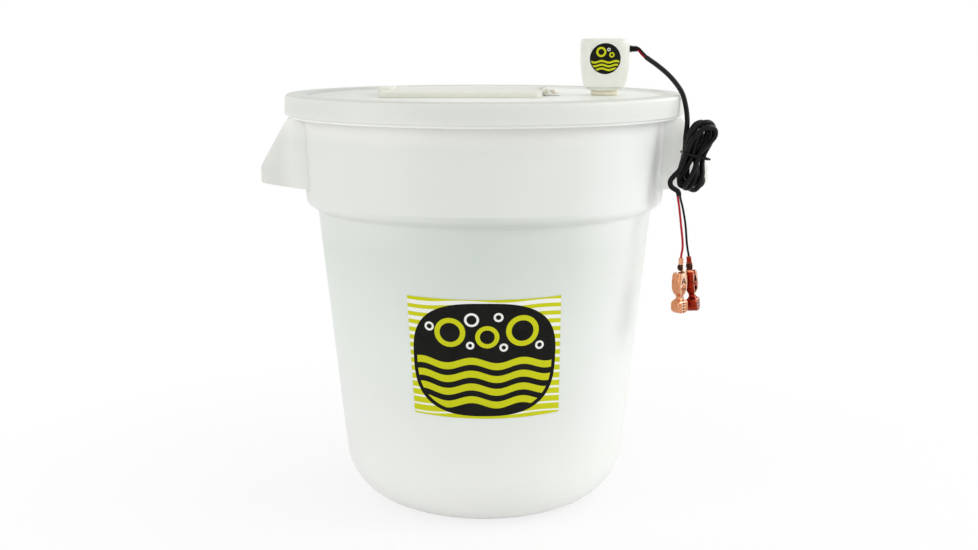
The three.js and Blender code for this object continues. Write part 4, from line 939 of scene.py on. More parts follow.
inside_outline = rounded([
    (0, 0), (138.8, 0, 60), (169.9, 306.5, 4), (181.2, 313, 9), (185.9, 416), (0, 416),
], 8)
inside = turned("inside", inside_outline, 160)
for side, angle in (("right", 0), ("left", 180)):
    core = inside.copy()
    core.data = inside.data.copy()
    bpy.context.scene.collection.objects.link(core)
    grip = carved(grip_form(0, 2.0), grip_form(grip_wall, 0), core)
    moved(grip, turn(angle, "Z"))
    dressed(grip, milky_plastic, "milky_plastic", "tub", "tub_body")
    grip.name = f"hand_grip_{side}"
    print(grip.name, [round(1000 * size) for size in grip.dimensions])
bpy.data.objects.remove(inside)

# %% [markdown]
# The lid is one moulding too: a plate sunk a little inside a raised rim, and a skirt outside that
# presses over the tub's lip. After turning, it gets the door's low coaming, a nib beside the hinges,
# the opening for the door, and holes for the stem and the two hinge screws.

# %% Lid
door_left, door_right, door_front, door_back = -104.0, 57.0, -62.0, 72.0
hinge_x, hinge_z = 62.3, 424.5
hinge_places = {"front": -15.0, "rear": 30.0}
head_x = 122.5
screw_x, screw_hole = 71.5, 1.8
stem_hole = 7.3
cut_low, cut_high = 400, 440


def door_outline(drawn, steps=8):
    edges = (door_left + drawn, door_right - drawn, door_front + drawn, door_back - drawn)
    return box_outline(*edges, 9 - drawn / 2, steps)


def rod(name, radius, low, high, x=0.0, y=0.0, sides=32):
    return turned(name, rounded([(0, low), (radius, low), (radius, high), (0, high)]), sides, x, y)


def through(name, radius, x, y=0.0, sides=32):
    """A cutter for a hole right through the lid."""
    return rod(name, radius, cut_low, cut_high, x, y, sides)


lid_outline = rounded([
    (0, 419.9), (181.5, 419.9, 0.8), (184.0, 422.5, 0.8), (202.4, 422.5, 4), (203, 402.4, 0.9),
    (200.4, 402.4, 0.6), (200.4, 419.9, 1), (184, 419.9, 0.8), (184, 417.3, 0.8), (0, 417.3),
], 6)
lid = turned("lid_moulding", lid_outline, sides=160)
coaming = slab("coaming", door_outline(3.8), 411.3, 423.4, edge=0.5)
nib_outline = rounded([(0, 418), (2.4, 418), (2.4, 422.9, 0.8), (0, 422.9)])
united(lid, coaming, turned("nib", nib_outline, 32, 75.3, 17))
opening = slab("opening", door_outline(6.2), cut_low, cut_high)
carved(lid, opening, through("stem_hole", stem_hole, head_x, sides=48))
carved(lid, *[through("screw_hole", screw_hole, screw_x, y) for y in hinge_places.values()])
dressed(lid, lid_plastic, "milky_plastic", "lid", "lid")
print("lid across:", round(1000 * lid.dimensions.x), "mm")

# %% [markdown]
# The bait door is a shallow tray upside down over the coaming. Its rings run from the inner
# ceiling out under the rim, up the side, over a soft edge and in across the top. A raised thumb
# lip at the free end and four knuckles at the hinges are joined on, and the pin bore goes through.

# %% Door
pin_bore, knuckle_radius = 1.6, 3.4


def lying(piece, x, y, z):
    """Lays an upright piece along Y and carries it to its place."""
    return moved(piece, turn(90, "X"), (x, y, z))


def barrel(name, radius, front, back, sides=40):
    return lying(rod(name, radius, -back, -front, sides=sides), hinge_x, 0, hinge_z)


def side_prism(name, outline, front, back):
    return skinned(name, [[(point.x, y, point.y) for point in outline] for y in (front, back)])


door_wall, door_foot, door_ceiling, door_top = 2.2, 420, 423.7, 425.9
door_edge = 1.4
door_levels = [(door_wall, door_ceiling), (door_wall, door_foot), (0, door_foot)]
for angle in spread(0, math.pi / 2, 5):
    door_levels.append((door_edge * (1 - math.cos(angle)), door_top - door_edge * (1 - math.sin(angle))))
door_rings = [[(*point, height) for point in door_outline(drawn)] for drawn, height in door_levels]
door = skinned("bait_door", door_rings)
lip_outline = box_outline(door_left - 3.4, door_left + 12, -18, 28, 5.5, 10)
united(door, slab("thumb_lip", lip_outline, door_ceiling, 428.3, edge=1.2, steps=4))
arm_outline = box_outline(door_right - door_wall, hinge_x, door_ceiling, door_top)
for y in hinge_places.values():
    for near, far in ((5.3, 11.3), (-11.3, -5.3)):
        arm = side_prism("arm", arm_outline, y + near, y + far)
        united(door, united(barrel("knuckle", knuckle_radius, y + near, y + far), arm))
    carved(door, barrel("pin_bore", pin_bore, y - 14, y + 14))
dressed(door, door_plastic, "door_plastic", "door", "door")
print("door:", [round(1000 * size) for size in door.dimensions], "mm")

# %% [markdown]
# Small screws are seen at the hinges and on the clips. They have slotted heads and a rolled
# thread, whose grooves are just part of the turned outline, and the nuts have chamfered corners.

# %% Screws and nuts
def thread(radius, low, high, pitch, depth):
    """Outline points of a thread's grooves, from low to high."""
    count = max(1, int((high - low) / pitch))
    points = []
    for k in range(count):
        foot = low + (high - low) * k / count
        points += [(radius, foot), (radius - depth, foot + (high - low) / count / 2)]
    return [*points, (radius, high)]


def slotted_screw(name, head_radius, head_height, shank_radius, length, slot_width=0.9, slot_depth=0.8):
    shank = thread(shank_radius, -length + 0.4, -0.6, 0.6, 0.22)
    outline = rounded([
        (0, -length), (shank_radius - 0.35, -length), *shank, (shank_radius, 0), (head_radius, 0, 0.2),
        (head_radius, head_height, head_height * 0.62), (0, head_height),
    ], 4)
    past, half = head_radius + 1, slot_width / 2
    slot = slab("slot", box_outline(-past, past, -half, half), head_height - slot_depth, head_height + 1)
    return carved(turned(name, outline, 40), slot)


def hex_outline(width):
    radius = width / math.sqrt(3)
    angles = [math.pi * k / 3 for k in range(6)]
    return [Vector((radius * math.cos(angle), radius * math.sin(angle))) for angle in angles]


def hex_nut(name, width, low, high, bore, x, y=0.0, chamfer=0.1):
    nut = slab(name, hex_outline(width), low, high)
    corner, cut_in = width / math.sqrt(3), width * chamfer
    rise, flat = cut_in * 0.55, corner - cut_in
    outline = rounded([
        (0, low), (flat, low), (corner, low + rise), (corner, high - rise), (flat, high), (0, high),
    ])
    combined("INTERSECT", nut, turned("chamfer", outline, 72))
    carved(nut, rod("bore", bore, low - 1, high + 1, sides=48))
    return moved(nut, (x, y, 0))


print("grooves in 10 mm of thread:", len(thread(1.5, 0, 10, 0.6, 0.22)) // 2)

# %% [markdown]
# Each hinge is a small white bracket that a pale brass screw and nut hold down, and a pin of the
# same metal. The bracket is a foot, a sloping heel and a barrel round the pin, joined in one.

# %% Hinges
def hinge_bracket(name, y):
    front, back = y - 5, y + 5
    bracket = slab(name, box_outline(60.1, 77.1, front, back, 1, 5), 420.2, 422.1, edge=0.4)
    heel = rounded([(62.3, 420.2), (67.8, 420.2), (67.8, 422.1), (66.2, 424.6), (62.3, 427.9)])
    round_pin = barrel("bracket_barrel", knuckle_radius, front, back)
    united(bracket, side_prism("heel", heel, front, back), round_pin)
    bore = barrel("bore", pin_bore, front - 2, back + 2)
    return carved(bracket, bore, through("hole", screw_hole, screw_x, y))


hinge_pin_outline = rounded([
    (0, -12.4), (2.6, -12.4, 0.35), (2.6, -11.6), (1.3, -11.6), (1.3, 11.6, 0.4), (0, 11.6),
], 4)
for place, y in hinge_places.items():
    bracket = hinge_bracket(f"bracket_{place}", y)
    dressed(bracket, lid_plastic, "milky_plastic", "lid", f"hinge_bracket_{place}")
    pin = lying(turned(f"pin_{place}", hinge_pin_outline, 32), hinge_x, y, hinge_z)
    dressed(pin, pale_brass, "zinc_steel", "lid", f"hinge_pin_{place}")
    screw = moved(slotted_screw(f"screw_{place}", 3.1, 1.8, 1.5, 10.5), turn(20, "Z"), (screw_x, y, 422.4))
    dressed(screw, pale_brass, "yellow_metal", "lid", f"hinge_screw_{place}")
    nut = hex_nut(f"nut_{place}", 5.6, 414.6, 417.0, screw_hole, screw_x, y)
    dressed(nut, pale_brass, "yellow_metal", "lid", f"hinge_nut_{place}")
print("hinges at Y", list(hinge_places.values()))

# %% [markdown]
# The aerator's head is a soft square box that draws in to a round foot. At each height it is a
# superellipse, whose exponent is 2 at the foot, a circle, and 3.6 in the middle, nearly square. A
# smooth curve runs through rows of a height's share, a half width's share and an exponent.

# %% Head shape
head_foot, head_height, head_half, head_wall = 424.4, 52.8, 24.4, 2.2
head_shares = [
    (0, 0.594, 2), (0.019, 0.713, 2.1), (0.057, 0.82, 2.3), (0.123, 0.885, 2.6), (0.256, 0.938, 3),
    (0.445, 0.984, 3.4), (0.634, 1, 3.6), (0.9, 1, 3.6), (0.966, 0.967, 3.4), (1, 0.893, 3.1),
]


def head_size(height):
    """Half width and exponent at a height, from a smooth curve that never passes its points."""
    share = min(max((height - head_foot) / head_height, 0), 1)
    k = max(index for index, row in enumerate(head_shares[:-1]) if row[0] <= share)
    start, end = head_shares[k], head_shares[k + 1]
    before, after = head_shares[max(k - 1, 0)], head_shares[min(k + 2, len(head_shares) - 1)]
    span = end[0] - start[0]
    along = (share - start[0]) / span
    sizes = []
    for column in (1, 2):
        rise = end[column] - start[column]
        slope = rise / span
        slopes = []
        for first, second in ((before, start), (end, after)):
            other = slope
            if second is not first:
                other = (second[column] - first[column]) / (second[0] - first[0])
            same_way = slope * other > 0
            slopes.append(2 * slope * other / (slope + other) * span if same_way else 0.0)
        bend = 3 * rise - 2 * slopes[0] - slopes[1]
        twist = slopes[0] + slopes[1] - 2 * rise
        sizes.append(start[column] + slopes[0] * along + (bend * along ** 2 + twist * along ** 3))
    return head_half * sizes[0], sizes[1]


def head_ring(height, drawn=0.0, points=96, level=None):
    half, exponent = head_size(height)
    ring = []
    for k in range(points):
        cos, sin = math.cos(2 * math.pi * k / points), math.sin(2 * math.pi * k / points)
        reach = (half - drawn) * (abs(cos) ** exponent + abs(sin) ** exponent) ** (-1 / exponent)
        ring.append((head_x + reach * cos, reach * sin, height if level is None else level))
    return ring


print("head at its middle:", [round(size, 1) for size in head_size(450)])

# %% [markdown]
# The shell is skinned from the ceiling of its hollow, down inside, and up again outside to the
# crown, which domes by less than a millimetre. The foot is a second piece with the motor's seat,
# its cradle and the threaded spigot that goes down through the lid.

# %% Head and foot
shell_foot, head_top = 427.9, 477.2
crown, crown_flat = 0.7, 21.0
relief_height, relief_bore = 466.4, 2.8
spigot_bore, axle_bore = 6.55, 4.1

hollow_heights = spread(shell_foot, head_top - head_wall, 24)
shell_rings = [head_ring(height, head_wall) for height in reversed(hollow_heights)]
shell_rings += [head_ring(height) for height in spread(shell_foot, head_top - crown, 40)]
for k in range(1, 8):
    drawn = crown_flat * k / 7
    shell_rings.append(head_ring(head_top - crown, drawn, level=head_top - crown * (1 - k / 7) ** 2))
head = skinned("head_cover", shell_rings)
carved(head, moved(rod("relief_hole", relief_bore, 0, 40), turn(90, "Y"), (head_x, 0, relief_height)))
dressed(head, ivory_plastic, "ivory_plastic", "lid", "head_shell", sharp=40)

foot = skinned("head_foot", [head_ring(height) for height in spread(head_foot, 427.6, 8)])
spigot = rounded([
    (spigot_bore, 401.9), *thread(7, 402.2, 416.4, 1.25, 0.28), (7, 426), (13.8, 426), (13.8, 430.1),
    (axle_bore, 430.1), (axle_bore, head_foot), (spigot_bore, head_foot),
])
cradle = rounded([(14.1, 426.5), (15.7, 426.5), (15.7, 439.6), (14.1, 439.6)])
united(foot, turned("spigot", spigot, 64, head_x))
united(foot, turned("cradle", cradle, 64, head_x))
carved(foot, rod("motor_bore", axle_bore, 420, 440, head_x, sides=64))
carved(foot, rod("stem_seat", spigot_bore, 400, head_foot, head_x, sides=64))
dressed(foot, ivory_plastic, "ivory_plastic", "lid", "head_base")
print("head top at", head_top, "mm")

# %% [markdown]
# A sponge gasket, squeezed a little by the head's weight, sits between the foot and the lid. The
# strain relief is a rubber bush with a collar inside the shell and thin ribs outside it that give
# way one after another when the cord is pulled. It is turned standing and then laid along X.

# %% Gasket and strain relief
gasket_outline = rounded([
    (stem_hole, 420.2), (13.5, 420.2, 0.6), (13.8, 422.2, 1.5), (13.5, 424.1, 0.6), (stem_hole, 424.1),
], 5)
gasket = turned("sponge_gasket", gasket_outline, 72, head_x)
dressed(gasket, tan_rubber, "tan_rubber", "lid", "head_gasket")

relief_points = [
    (0, 20.4), (4, 20.4, 0.3), (4, 21.9), (2.5, 21.9), (2.5, 24.7), (3.6, 24.7, 0.3), (3.5, 26.1),
]
rib_pitch, rib_taper, groove_depth = 1.55, 0.12, 0.55
for k in range(4):
    near, radius = 26.2 + rib_pitch * k, 3.38 - rib_taper * k
    groove = radius - groove_depth
    relief_points += [(groove, near + 0.1), (groove, near + 0.6), (radius, near + 0.7), (radius, near + 1.4)]
relief_points += [(2.9, 32.7, 0.3), (2.3, 32.7), (2.3, 29.7), (0, 29.7)]
relief = turned("cord_relief", rounded(relief_points, 4), 40)
moved(relief, turn(90, "Y"), (head_x, 0, relief_height))
dressed(relief, black_rubber, "black_rubber", "lid", "strain_relief")
print("strain relief:", [round(1000 * size) for size in relief.dimensions], "mm")

# %% [markdown]
# Inside the head stand a small motor and its leads, and under it the drive goes down the stem:
# coupling, shaft, two brass bushes. None of it shows in the photograph, but the stem and its
# strainer come into view when the lid is lifted. Each row below is one turned piece.

# %% Turned pieces on the stem's axis
def points(*corners, steps=4):
    return rounded(list(corners), steps)


turned_pieces = [
    ("motor_case", "motor_can", "lid", "zinc_steel", points(
        (1.45, 429), (3.4, 429, 0.3), (3.4, 430.4), (13.8, 430.4, 1.2), (13.8, 433.2), (13.5, 433.6),
        (13.5, 434.6), (13.8, 435), (13.8, 464.4, 0.4), (0, 464.4), (0, 440.7), (1.45, 440.7))),
    ("motor_cap", "motor_end_cap", "lid", "black_rubber", points(
        (0, 464.7), (12.2, 464.7), (12.2, 467.9, 1), (6, 467.9), (5.6, 467.5), (3.6, 467.5), (3.2, 467.9),
        (0, 467.9))),
    ("motor_axle", "motor_shaft", "rotor", "zinc_steel", points(
        (0, 418.2), (1.15, 418.2, 0.25), (1.15, 440.4, 0.25), (0, 440.4))),
    ("coupling", "shaft_coupling", "rotor", "zinc_steel", points(
        (1.8, 410.9), (3.5, 410.9, 0.5), (3.5, 415.6), (3.2, 415.9), (3.2, 419.9), (3.5, 420.2),
        (3.5, 424.9, 0.5), (1.45, 424.9), (1.45, 418.05), (1.8, 418.05))),
    ("long_shaft", "drive_shaft", "rotor", "zinc_steel", points(
        (0, 75.1), (1.5, 75.1, 0.3), (1.5, 417.9, 0.3), (0, 417.9))),
    ("washer", "stem_washer", "lid", "zinc_steel", points(
        (stem_hole, 415.5), (13, 415.5, 0.4), (13, 417, 0.4), (stem_hole, 417))),
    ("upper_bush", "shaft_bush_upper", "lid", "yellow_metal", points(
        (1.8, 389.6), (4.45, 389.6, 0.5), (4.45, 396.6, 0.5), (1.8, 396.6, 0.3))),
    ("lower_bush", "shaft_bush_lower", "lid", "yellow_metal", points(
        (1.8, 104.4), (4.45, 104.4, 0.5), (4.45, 111.4, 0.5), (1.8, 111.4, 0.3))),
    ("impeller_collar", "impeller_nut", "rotor", "yellow_metal", points(
        (1.8, 77.1), (3, 77.1, 0.4), (3, 79.8, 0.4), (1.8, 79.8))),
    ("strainer_plug", "strainer_cap", "lid", "grey_plastic", points(
        (5, 67.7, 0.5), (15, 67.7, 1), (15, 69.7, 0.4), (12.9, 69.7), (12.9, 72.7, 0.5), (11.1, 72.7, 0.4),
        (11.1, 69.7), (5, 69.7, 0.5))),
]
finishes = {
    "zinc_steel": zinc_steel, "black_rubber": black_rubber, "yellow_metal": brass,
    "grey_plastic": grey_plastic,
}
for name, node, body, slot, outline in turned_pieces:
    dressed(turned(name, outline, 56, head_x), finishes[slot], slot, body, node)

stem_outline = points((4.75, 104.1, 0.4), (6.25, 104.1, 0.4), (6.25, 424.1, 0.3), (4.75, 424.1, 0.3))
stem = turned("stem_pipe", stem_outline, 56, head_x)
carved(stem, moved(rod("air_hole", 1.5, -9, 9), turn(90, "Y"), (head_x, 0, 385.1)))
dressed(stem, ivory_plastic, "ivory_plastic", "lid", "stem_tube")
spigot_nut = hex_nut("spigot_nut", 22, 408.2, 415.2, stem_hole, head_x)
dressed(spigot_nut, ivory_plastic, "ivory_plastic", "lid", "lock_nut")
print("turned pieces:", len(turned_pieces) + 2)

# %% [markdown]
# The impeller's three blades are bent round the shaft: each is skinned from thin sections at
# growing radii, whose points are wrapped on the cylinder of that radius and pitched less and less
# toward the tip. The strainer round it is a turned cage with ten slots cut by round-ended blocks.

# %% Impeller and strainer
impeller_middle = 85.1


def blade(number):
    rings = []
    for radius in (2.4, 3.4, 4.6, 6, 7.5, 9, 10.2, 10.9):
        pitch = math.radians(38 - 6 * (radius - 2.4) / 8.5)
        chord = 7.4 + 1.5 * math.sin(math.pi * (radius - 2.4) / 11)
        if radius > 10:
            chord -= (radius - 10) * 1.6
        thick = 1.2 if radius < 10.5 else 0.8
        ring = []
        for point in box_outline(-chord / 2, chord / 2, -thick / 2, thick / 2, thick * 0.42, 3):
            tangential = point.x * math.cos(pitch) - point.y * math.sin(pitch)
            height = point.x * math.sin(pitch) + point.y * math.cos(pitch)
            angle = tangential / radius * min(1, radius / 6) + 2 * math.pi * number / 3
            ring.append((radius * math.cos(angle), radius * math.sin(angle), impeller_middle + height))
        rings.append(ring)
    return skinned("blade", rings)


hub = turned("impeller_wheel", points((0, 80.1), (3.2, 80.1, 0.5), (3.2, 90.1, 0.8), (0, 90.1)), 48)
united(hub, blade(0), blade(1), blade(2))
carved(hub, rod("bore", 1.8, 70, 100, sides=48))
dressed(moved(hub, (head_x, 0, 0)), grey_plastic, "grey_plastic", "rotor", "impeller")

cage_outline = points(
    (6.55, 112.1, 0.3), (6.55, 98.3), (13.2, 98.3), (13.2, 70, 0.3), (15, 70, 0.3), (15, 100.1, 0.9),
    (8.55, 100.1, 0.8), (8.55, 112.1, 0.5),
)
cage = turned("strainer_basket", cage_outline, 80)
for k in range(10):
    slot_outline = box_outline(-2.3, 2.3, 74, 98, 2.2, 6)
    cutter = skinned("slot", [[(x, point.x, point.y) for point in slot_outline] for x in (10.5, 18)])
    carved(cage, moved(cutter, turn(36 * k, "Z")))
dressed(moved(cage, (head_x, 0, 0)), grey_plastic, "grey_plastic", "lid", "strainer_cage")
print("cage polygons:", len(cage.data.polygons))

# %% [markdown]
# The motor's two terminals are bare tabs with a soldered wire each, and the wires run to the
# strain relief inside the head.

# %% Motor terminals and leads
for tint, side in (("red", -1), ("black", 1)):
    y = side * 6.0
    tab = slab(f"motor_tab_{tint}", box_outline(-0.4, 0.4, y - 1.5, y + 1.5, 0.2, 3), 468.2, 472.2, edge=0.2)
    dressed(moved(tab, (head_x, 0, 0)), brass, "yellow_metal", "lid", f"motor_terminal_{tint}")
    route = [
        (0.7, y, 470.2), (10.95, side * 4, 470.5), (15.7, side * 2.5, 469.25), (20.1, side * 1.25, 466.4),
    ]
    inner_line = centripetal([Vector(point) + Vector((head_x, 0, 0)) for point in route])
    wire = cord_curve(f"motor_wire_{tint}", inner_line, 0.95)
    dressed(wire, *sheaths[tint], "lid", f"motor_lead_{tint}")
    print(tint, "motor lead:", round(line_length(inner_line), 3), "m")

# %% [markdown]
# The battery clips are channels of thin sheet, so a jaw is built as a channel: level rings like a
# flat-sided D, whose back bows out at the grip, pulls in at the waist and flares again at the
# nose. A smaller channel is cut out of it. Near the pin its two flanges are cut back in a curve,
# so that the two jaws together leave a lens open there.

# %% Clip channels
clip_sheet = 0.9
clip_top, clip_nose = 12.5, -27.0
tooth_top = -13.0
fixed_half, moving_half = 4.2, 5.4


def read_between(rows, height):
    """A smooth reading of a table of (height, value) rows that fall in height."""
    for (high, first), (low, second) in zip(rows, rows[1:]):
        if height >= low:
            share = min(max((high - height) / (high - low), 0), 1)
            smooth = share * share * (3 - 2 * share)
            return first + (second - first) * smooth
    return rows[-1][1]


back_rows = [
    (12.5, 5.6), (8.0, 6.75), (3.4, 7.2), (-2.2, 7.0), (-6.1, 5.6), (-11.7, 3.15), (-12.7, 3.3), (-16.2, 6.9),
    (-18.1, 7.55), (-23.1, 7.5), (-25.2, 6.3), (-27.0, 3.9),
]


def jaw_widths(upper_half):
    """Rows of height and half width for a jaw; the fixed one is narrower from its waist up."""
    return [
        (12.5, upper_half - 0.25), (9.0, upper_half), (-5.2, upper_half), (-11.5, 3.0), (-12.4, 3.1),
        (-16.8, 5.5), (-27.0, 5.45),
    ]


def flange_edge(height):
    """How far the flanges are cut back: together the two jaws leave a lens open round the pin."""
    return 0.7 + 4.1 * max(0.0, 1 - ((height + 1.0) / 10.5) ** 2)


def channel(name, upper_half, drawn):
    """The jaw's solid form, or, drawn in by the sheet, the hollow that makes it a channel."""
    foot = clip_nose + drawn
    top = clip_top + (2.0 if drawn else 0.0)
    count = 46
    rings = []
    for k in range(count + 1):
        height = foot + (top - foot) * k / count
        back = read_between(back_rows, min(height, clip_top)) - drawn
        half = read_between(jaw_widths(upper_half), min(height, clip_top)) - drawn
        edge = 0.15 if height < tooth_top else flange_edge(height)
        if drawn:
            edge = -3.0
        corner = 1.7 - drawn * 0.8
        section = rounded([(edge, -half), (back, -half, corner), (back, half, corner), (edge, half)], 6)
        rings.append([(point.x, point.y, height) for point in section])
    return skinned(name, rings)


print("a jaw's nose is", read_between(jaw_widths(fixed_half), clip_nose) * 2, "mm wide")

# %% [markdown]
# Teeth are cut in the edges of a jaw's nose, ears go round the pin, and beads are laid along the cut-back
# edges of its flanges, where the sheet is rolled over; their near-white metal is a painted highlight.

# %% Clip jaws
def tooth_cutter():
    pitch = (tooth_top - clip_nose) / 5
    profile = [Vector((-2, clip_nose - 0.6)), Vector((0.15, clip_nose - 0.3))]
    for k in range(5):
        low = clip_nose + k * pitch
        profile += [Vector((1.15, low + pitch / 2)), Vector((0.12, low + pitch))]
    profile.append(Vector((-2, tooth_top)))
    return side_prism("teeth", profile, -12, 12)


def ear(upper_half, side):
    disc = rounded([(0, 0), (2.5, 0, 0.2), (2.5, clip_sheet, 0.2), (0, clip_sheet)], 3)
    near = side * upper_half - (clip_sheet if side > 0 else 0)
    web = [Vector(point) for point in ((0.5, -1.2), (5.6, -1.8), (5.6, 1.8), (0.5, 1.2))]
    joined = side_prism("web", web, near, near + clip_sheet)
    return united(joined, moved(turned("ear", disc, 40), turn(-90, "X"), (0, near, 0)))


def tube(name, line, radius, across, sides=10):
    """A round wire along a line; across is any direction that isn't along its start."""
    rings = []
    for k, point in enumerate(line):
        along = (line[min(k + 1, len(line) - 1)] - line[max(k - 1, 0)]).normalized()
        across = (across - along * along.dot(across)).normalized()
        up = along.cross(across)
        spokes = [2 * math.pi * side / sides for side in range(sides)]
        rings.append([point + (across * math.cos(bend) + up * math.sin(bend)) * radius for bend in spokes])
    return skinned(name, rings)


def flange_beads(name, upper_half):
    """The rolled edges of a jaw's two flanges, near-white as a painted highlight, from near its top down to
    its waist.
    """
    beads = []
    for side in (-1, 1):
        line = []
        for k in range(31):
            height = 9.0 - 20.6 * k / 30
            half = read_between(jaw_widths(upper_half), height) - clip_sheet / 2
            line.append(Vector((flange_edge(height) + 0.2, side * half, height)))
        beads.append(tube(name if side < 0 else "bead", line, 0.55, Vector((0, 1, 0))))
    return gathered(*beads)


def clip_jaw(name, upper_half):
    jaw = channel(name, upper_half, 0)
    carved(jaw, channel("hollow", upper_half, clip_sheet))
    united(jaw, ear(upper_half, 1), ear(upper_half, -1))
    bore = moved(rod("bore", 1.3, -12, 12), turn(-90, "X"))
    return carved(jaw, bore, tooth_cutter())


print("teeth from", clip_nose, "to", tooth_top, "mm")

# %% [markdown]
# The fixed jaw carries a cranked strap with a curled barrel for the wire and a slotted screw on a cup washer;
# screw and washer are dark bronze, darker as painted shade where the top of the clip lies in shadow, and the
# washer widens that dark patch. A steel spring sits on the pin between the jaws. Everything is made standing,
# with the pin at the origin, and then leaned and turned to where the imported model holds it.

# %% Clips
screw_height = 17.6


def strap():
    outline = rounded([
        (-5.616, 11.6), (-4.516, 11.6), (-3.816, 12.95, 0.6), (0, 14.3, 1.2), (0, 21.6), (-0.9, 21.6),
        (-0.9, 15.2, 0.8), (-4.716, 13.9, 1.2),
    ], 5)
    plate = side_prism("strap", outline, -3, 3)
    return carved(plate, moved(rod("screw_hole", 1.6, -8, 8), turn(90, "Y"), (0, 0, screw_height)))


def wire_barrel():
    ring = []
    for radius, order in ((2.4, 1), (1.35, -1)):
        arc = [math.radians(12 + (348 - 12) * k / 36) for k in range(37)][::order]
        ring += [(radius * math.cos(angle) - 0.45, radius * math.sin(angle)) for angle in arc]
    return skinned("barrel", [[(*point, height) for point in ring] for height in (20.6, 20.9, 26.7, 27.0)])


def clip_spring(name):
    coil_radius, coil_half, curls, per_curl = 1.75, 2.45, 3.5, 20
    line = [Vector((coil_radius, -coil_half, -3.6))]
    for k in range(int(curls * per_curl) + 1):
        angle = 2 * math.pi * k / per_curl
        across = 2 * coil_half * k / (curls * per_curl) - coil_half
        line.append(Vector((coil_radius * math.cos(angle), across, coil_radius * math.sin(angle))))
    line.append(Vector((-3.6, coil_half, 7.6)))
    return tube(name, line, 0.4, Vector((0, 1, 0)))


def pin_outline(half):
    return rounded([
        (0, -half - 0.6), (1.8, -half - 0.6, 0.4), (1.8, -half), (1, -half), (1, half), (1.8, half),
        (1.8, half + 0.6, 0.4), (0, half + 0.6),
    ], 4)


clip_places = {
    "red": ((190.8, -98, 240.2), -138.6, 0.0, 1, bright_copper),
    "black": ((203.5, -86, 240.0), 66.5, -6.5, -1, dark_copper),
}
for tint, (pivot, turned_by, leaned_by, screw_side, copper) in clip_places.items():
    fixed = moved(clip_jaw(f"clip_{tint}_fixed", fixed_half), turn(180, "Z"))
    united(fixed, strap(), wire_barrel())
    moving = clip_jaw(f"clip_{tint}_moving", moving_half)
    pin = moved(turned(f"clip_{tint}_rivet", pin_outline(5.7), 32), turn(-90, "X"))
    spring = clip_spring(f"clip_{tint}_coil")
    screw = slotted_screw(f"clip_{tint}_wire_screw", 2.4, 1.4, 1.3, 3.6)
    # The cup washer widens the dark patch of painted shade round the screw.
    cup = rounded([(1.7, 0), (3.7, 0, 0.3), (3.2, 0.8, 0.3), (1.7, 0.5)], 3)
    washer = turned(f"clip_{tint}_cup_washer", cup, 40)
    for part in (screw, washer):
        seat = 0.3 if screw_side > 0 else -1.2
        moved(part, turn(35, "Z"), turn(90 * screw_side, "Y"), (seat, 0, screw_height))
    fixed_beads = moved(flange_beads(f"clip_{tint}_fixed_edges", fixed_half), turn(180, "Z"))
    moving_beads = flange_beads(f"clip_{tint}_moving_edges", moving_half)
    rows = [
        (fixed_beads, highlight_copper, "copper_sheet", "lid", None), (washer, shade_dark_bronze, "copper_sheet", "lid", None),
        (moving_beads, highlight_copper, "copper_sheet", f"clip_{tint}_jaw", None),
        (fixed, copper, "copper_sheet", "lid", "fixed_jaw"), (pin, copper, "copper_sheet", "lid", "pin"),
        (moving, copper, "copper_sheet", f"clip_{tint}_jaw", "moving_jaw"),
        (spring, zinc_steel, "zinc_steel", "lid", "spring"), (screw, shade_dark_bronze, "yellow_metal", "lid", "screw"),
    ]
    for piece, finish, slot, body, node in rows:
        moved(piece, turn(turned_by, "Z"), turn(leaned_by, "Y"), pivot)
        stands_for = [f"clip_{tint}_{node}"] if node else []
        dressed(piece, finish, slot, body, *stands_for, sharp=38)

# %% [markdown]
# The cord's real length is measured along its line: the jacket runs from the strain relief to the point where
# its two wires part, and each wire goes on by itself to the clip on its end.

# %% Measuring the cord and its two leads
round(line_length(cable_line), 3)
for tint, lead in leads.items():
    tuple(cable_line[-1] * MILLIMETRE)
    round(line_length(lead_lines[tint]), 3)
print("declared:", cable.name, *[lead.name for lead in leads.values()])

# %% [markdown]
# Two stickers give the tub its colour: a big one on the wall and a round one on the head. Their
# print is a generic water design in lime, black and white: wavy lime stripes that thicken toward
# the bottom, a black soft-cornered panel, bubbles as lime and white rings. It is drawn with maths.

# %% Printed stickers
lime, ink, paper = tone(202, 205, 20), tone(9, 9, 10), tone(240, 241, 236)


def waves(across, up, pitch, share, swing, turns_per_metre, count):
    """One inside a number of wavy stripes; share is how much of the pitch each of them fills."""
    wavy = (up + (across * (2 * math.pi * turns_per_metre)).sine() * swing) / pitch
    return (wavy.fraction() < share) * (wavy > 0.0) * (wavy < count)


def bubble(across, up, middle, radius, line):
    away = ((across - middle[0]) ** 2.0 + (up - middle[1]) ** 2.0) ** 0.5
    return abs(away - radius) < line


def soft_panel(across, up, middle, half, exponent):
    wide = abs((across - middle[0]) / half[0]) ** exponent
    return (wide + abs((up - middle[1]) / half[1]) ** exponent) < 1.0


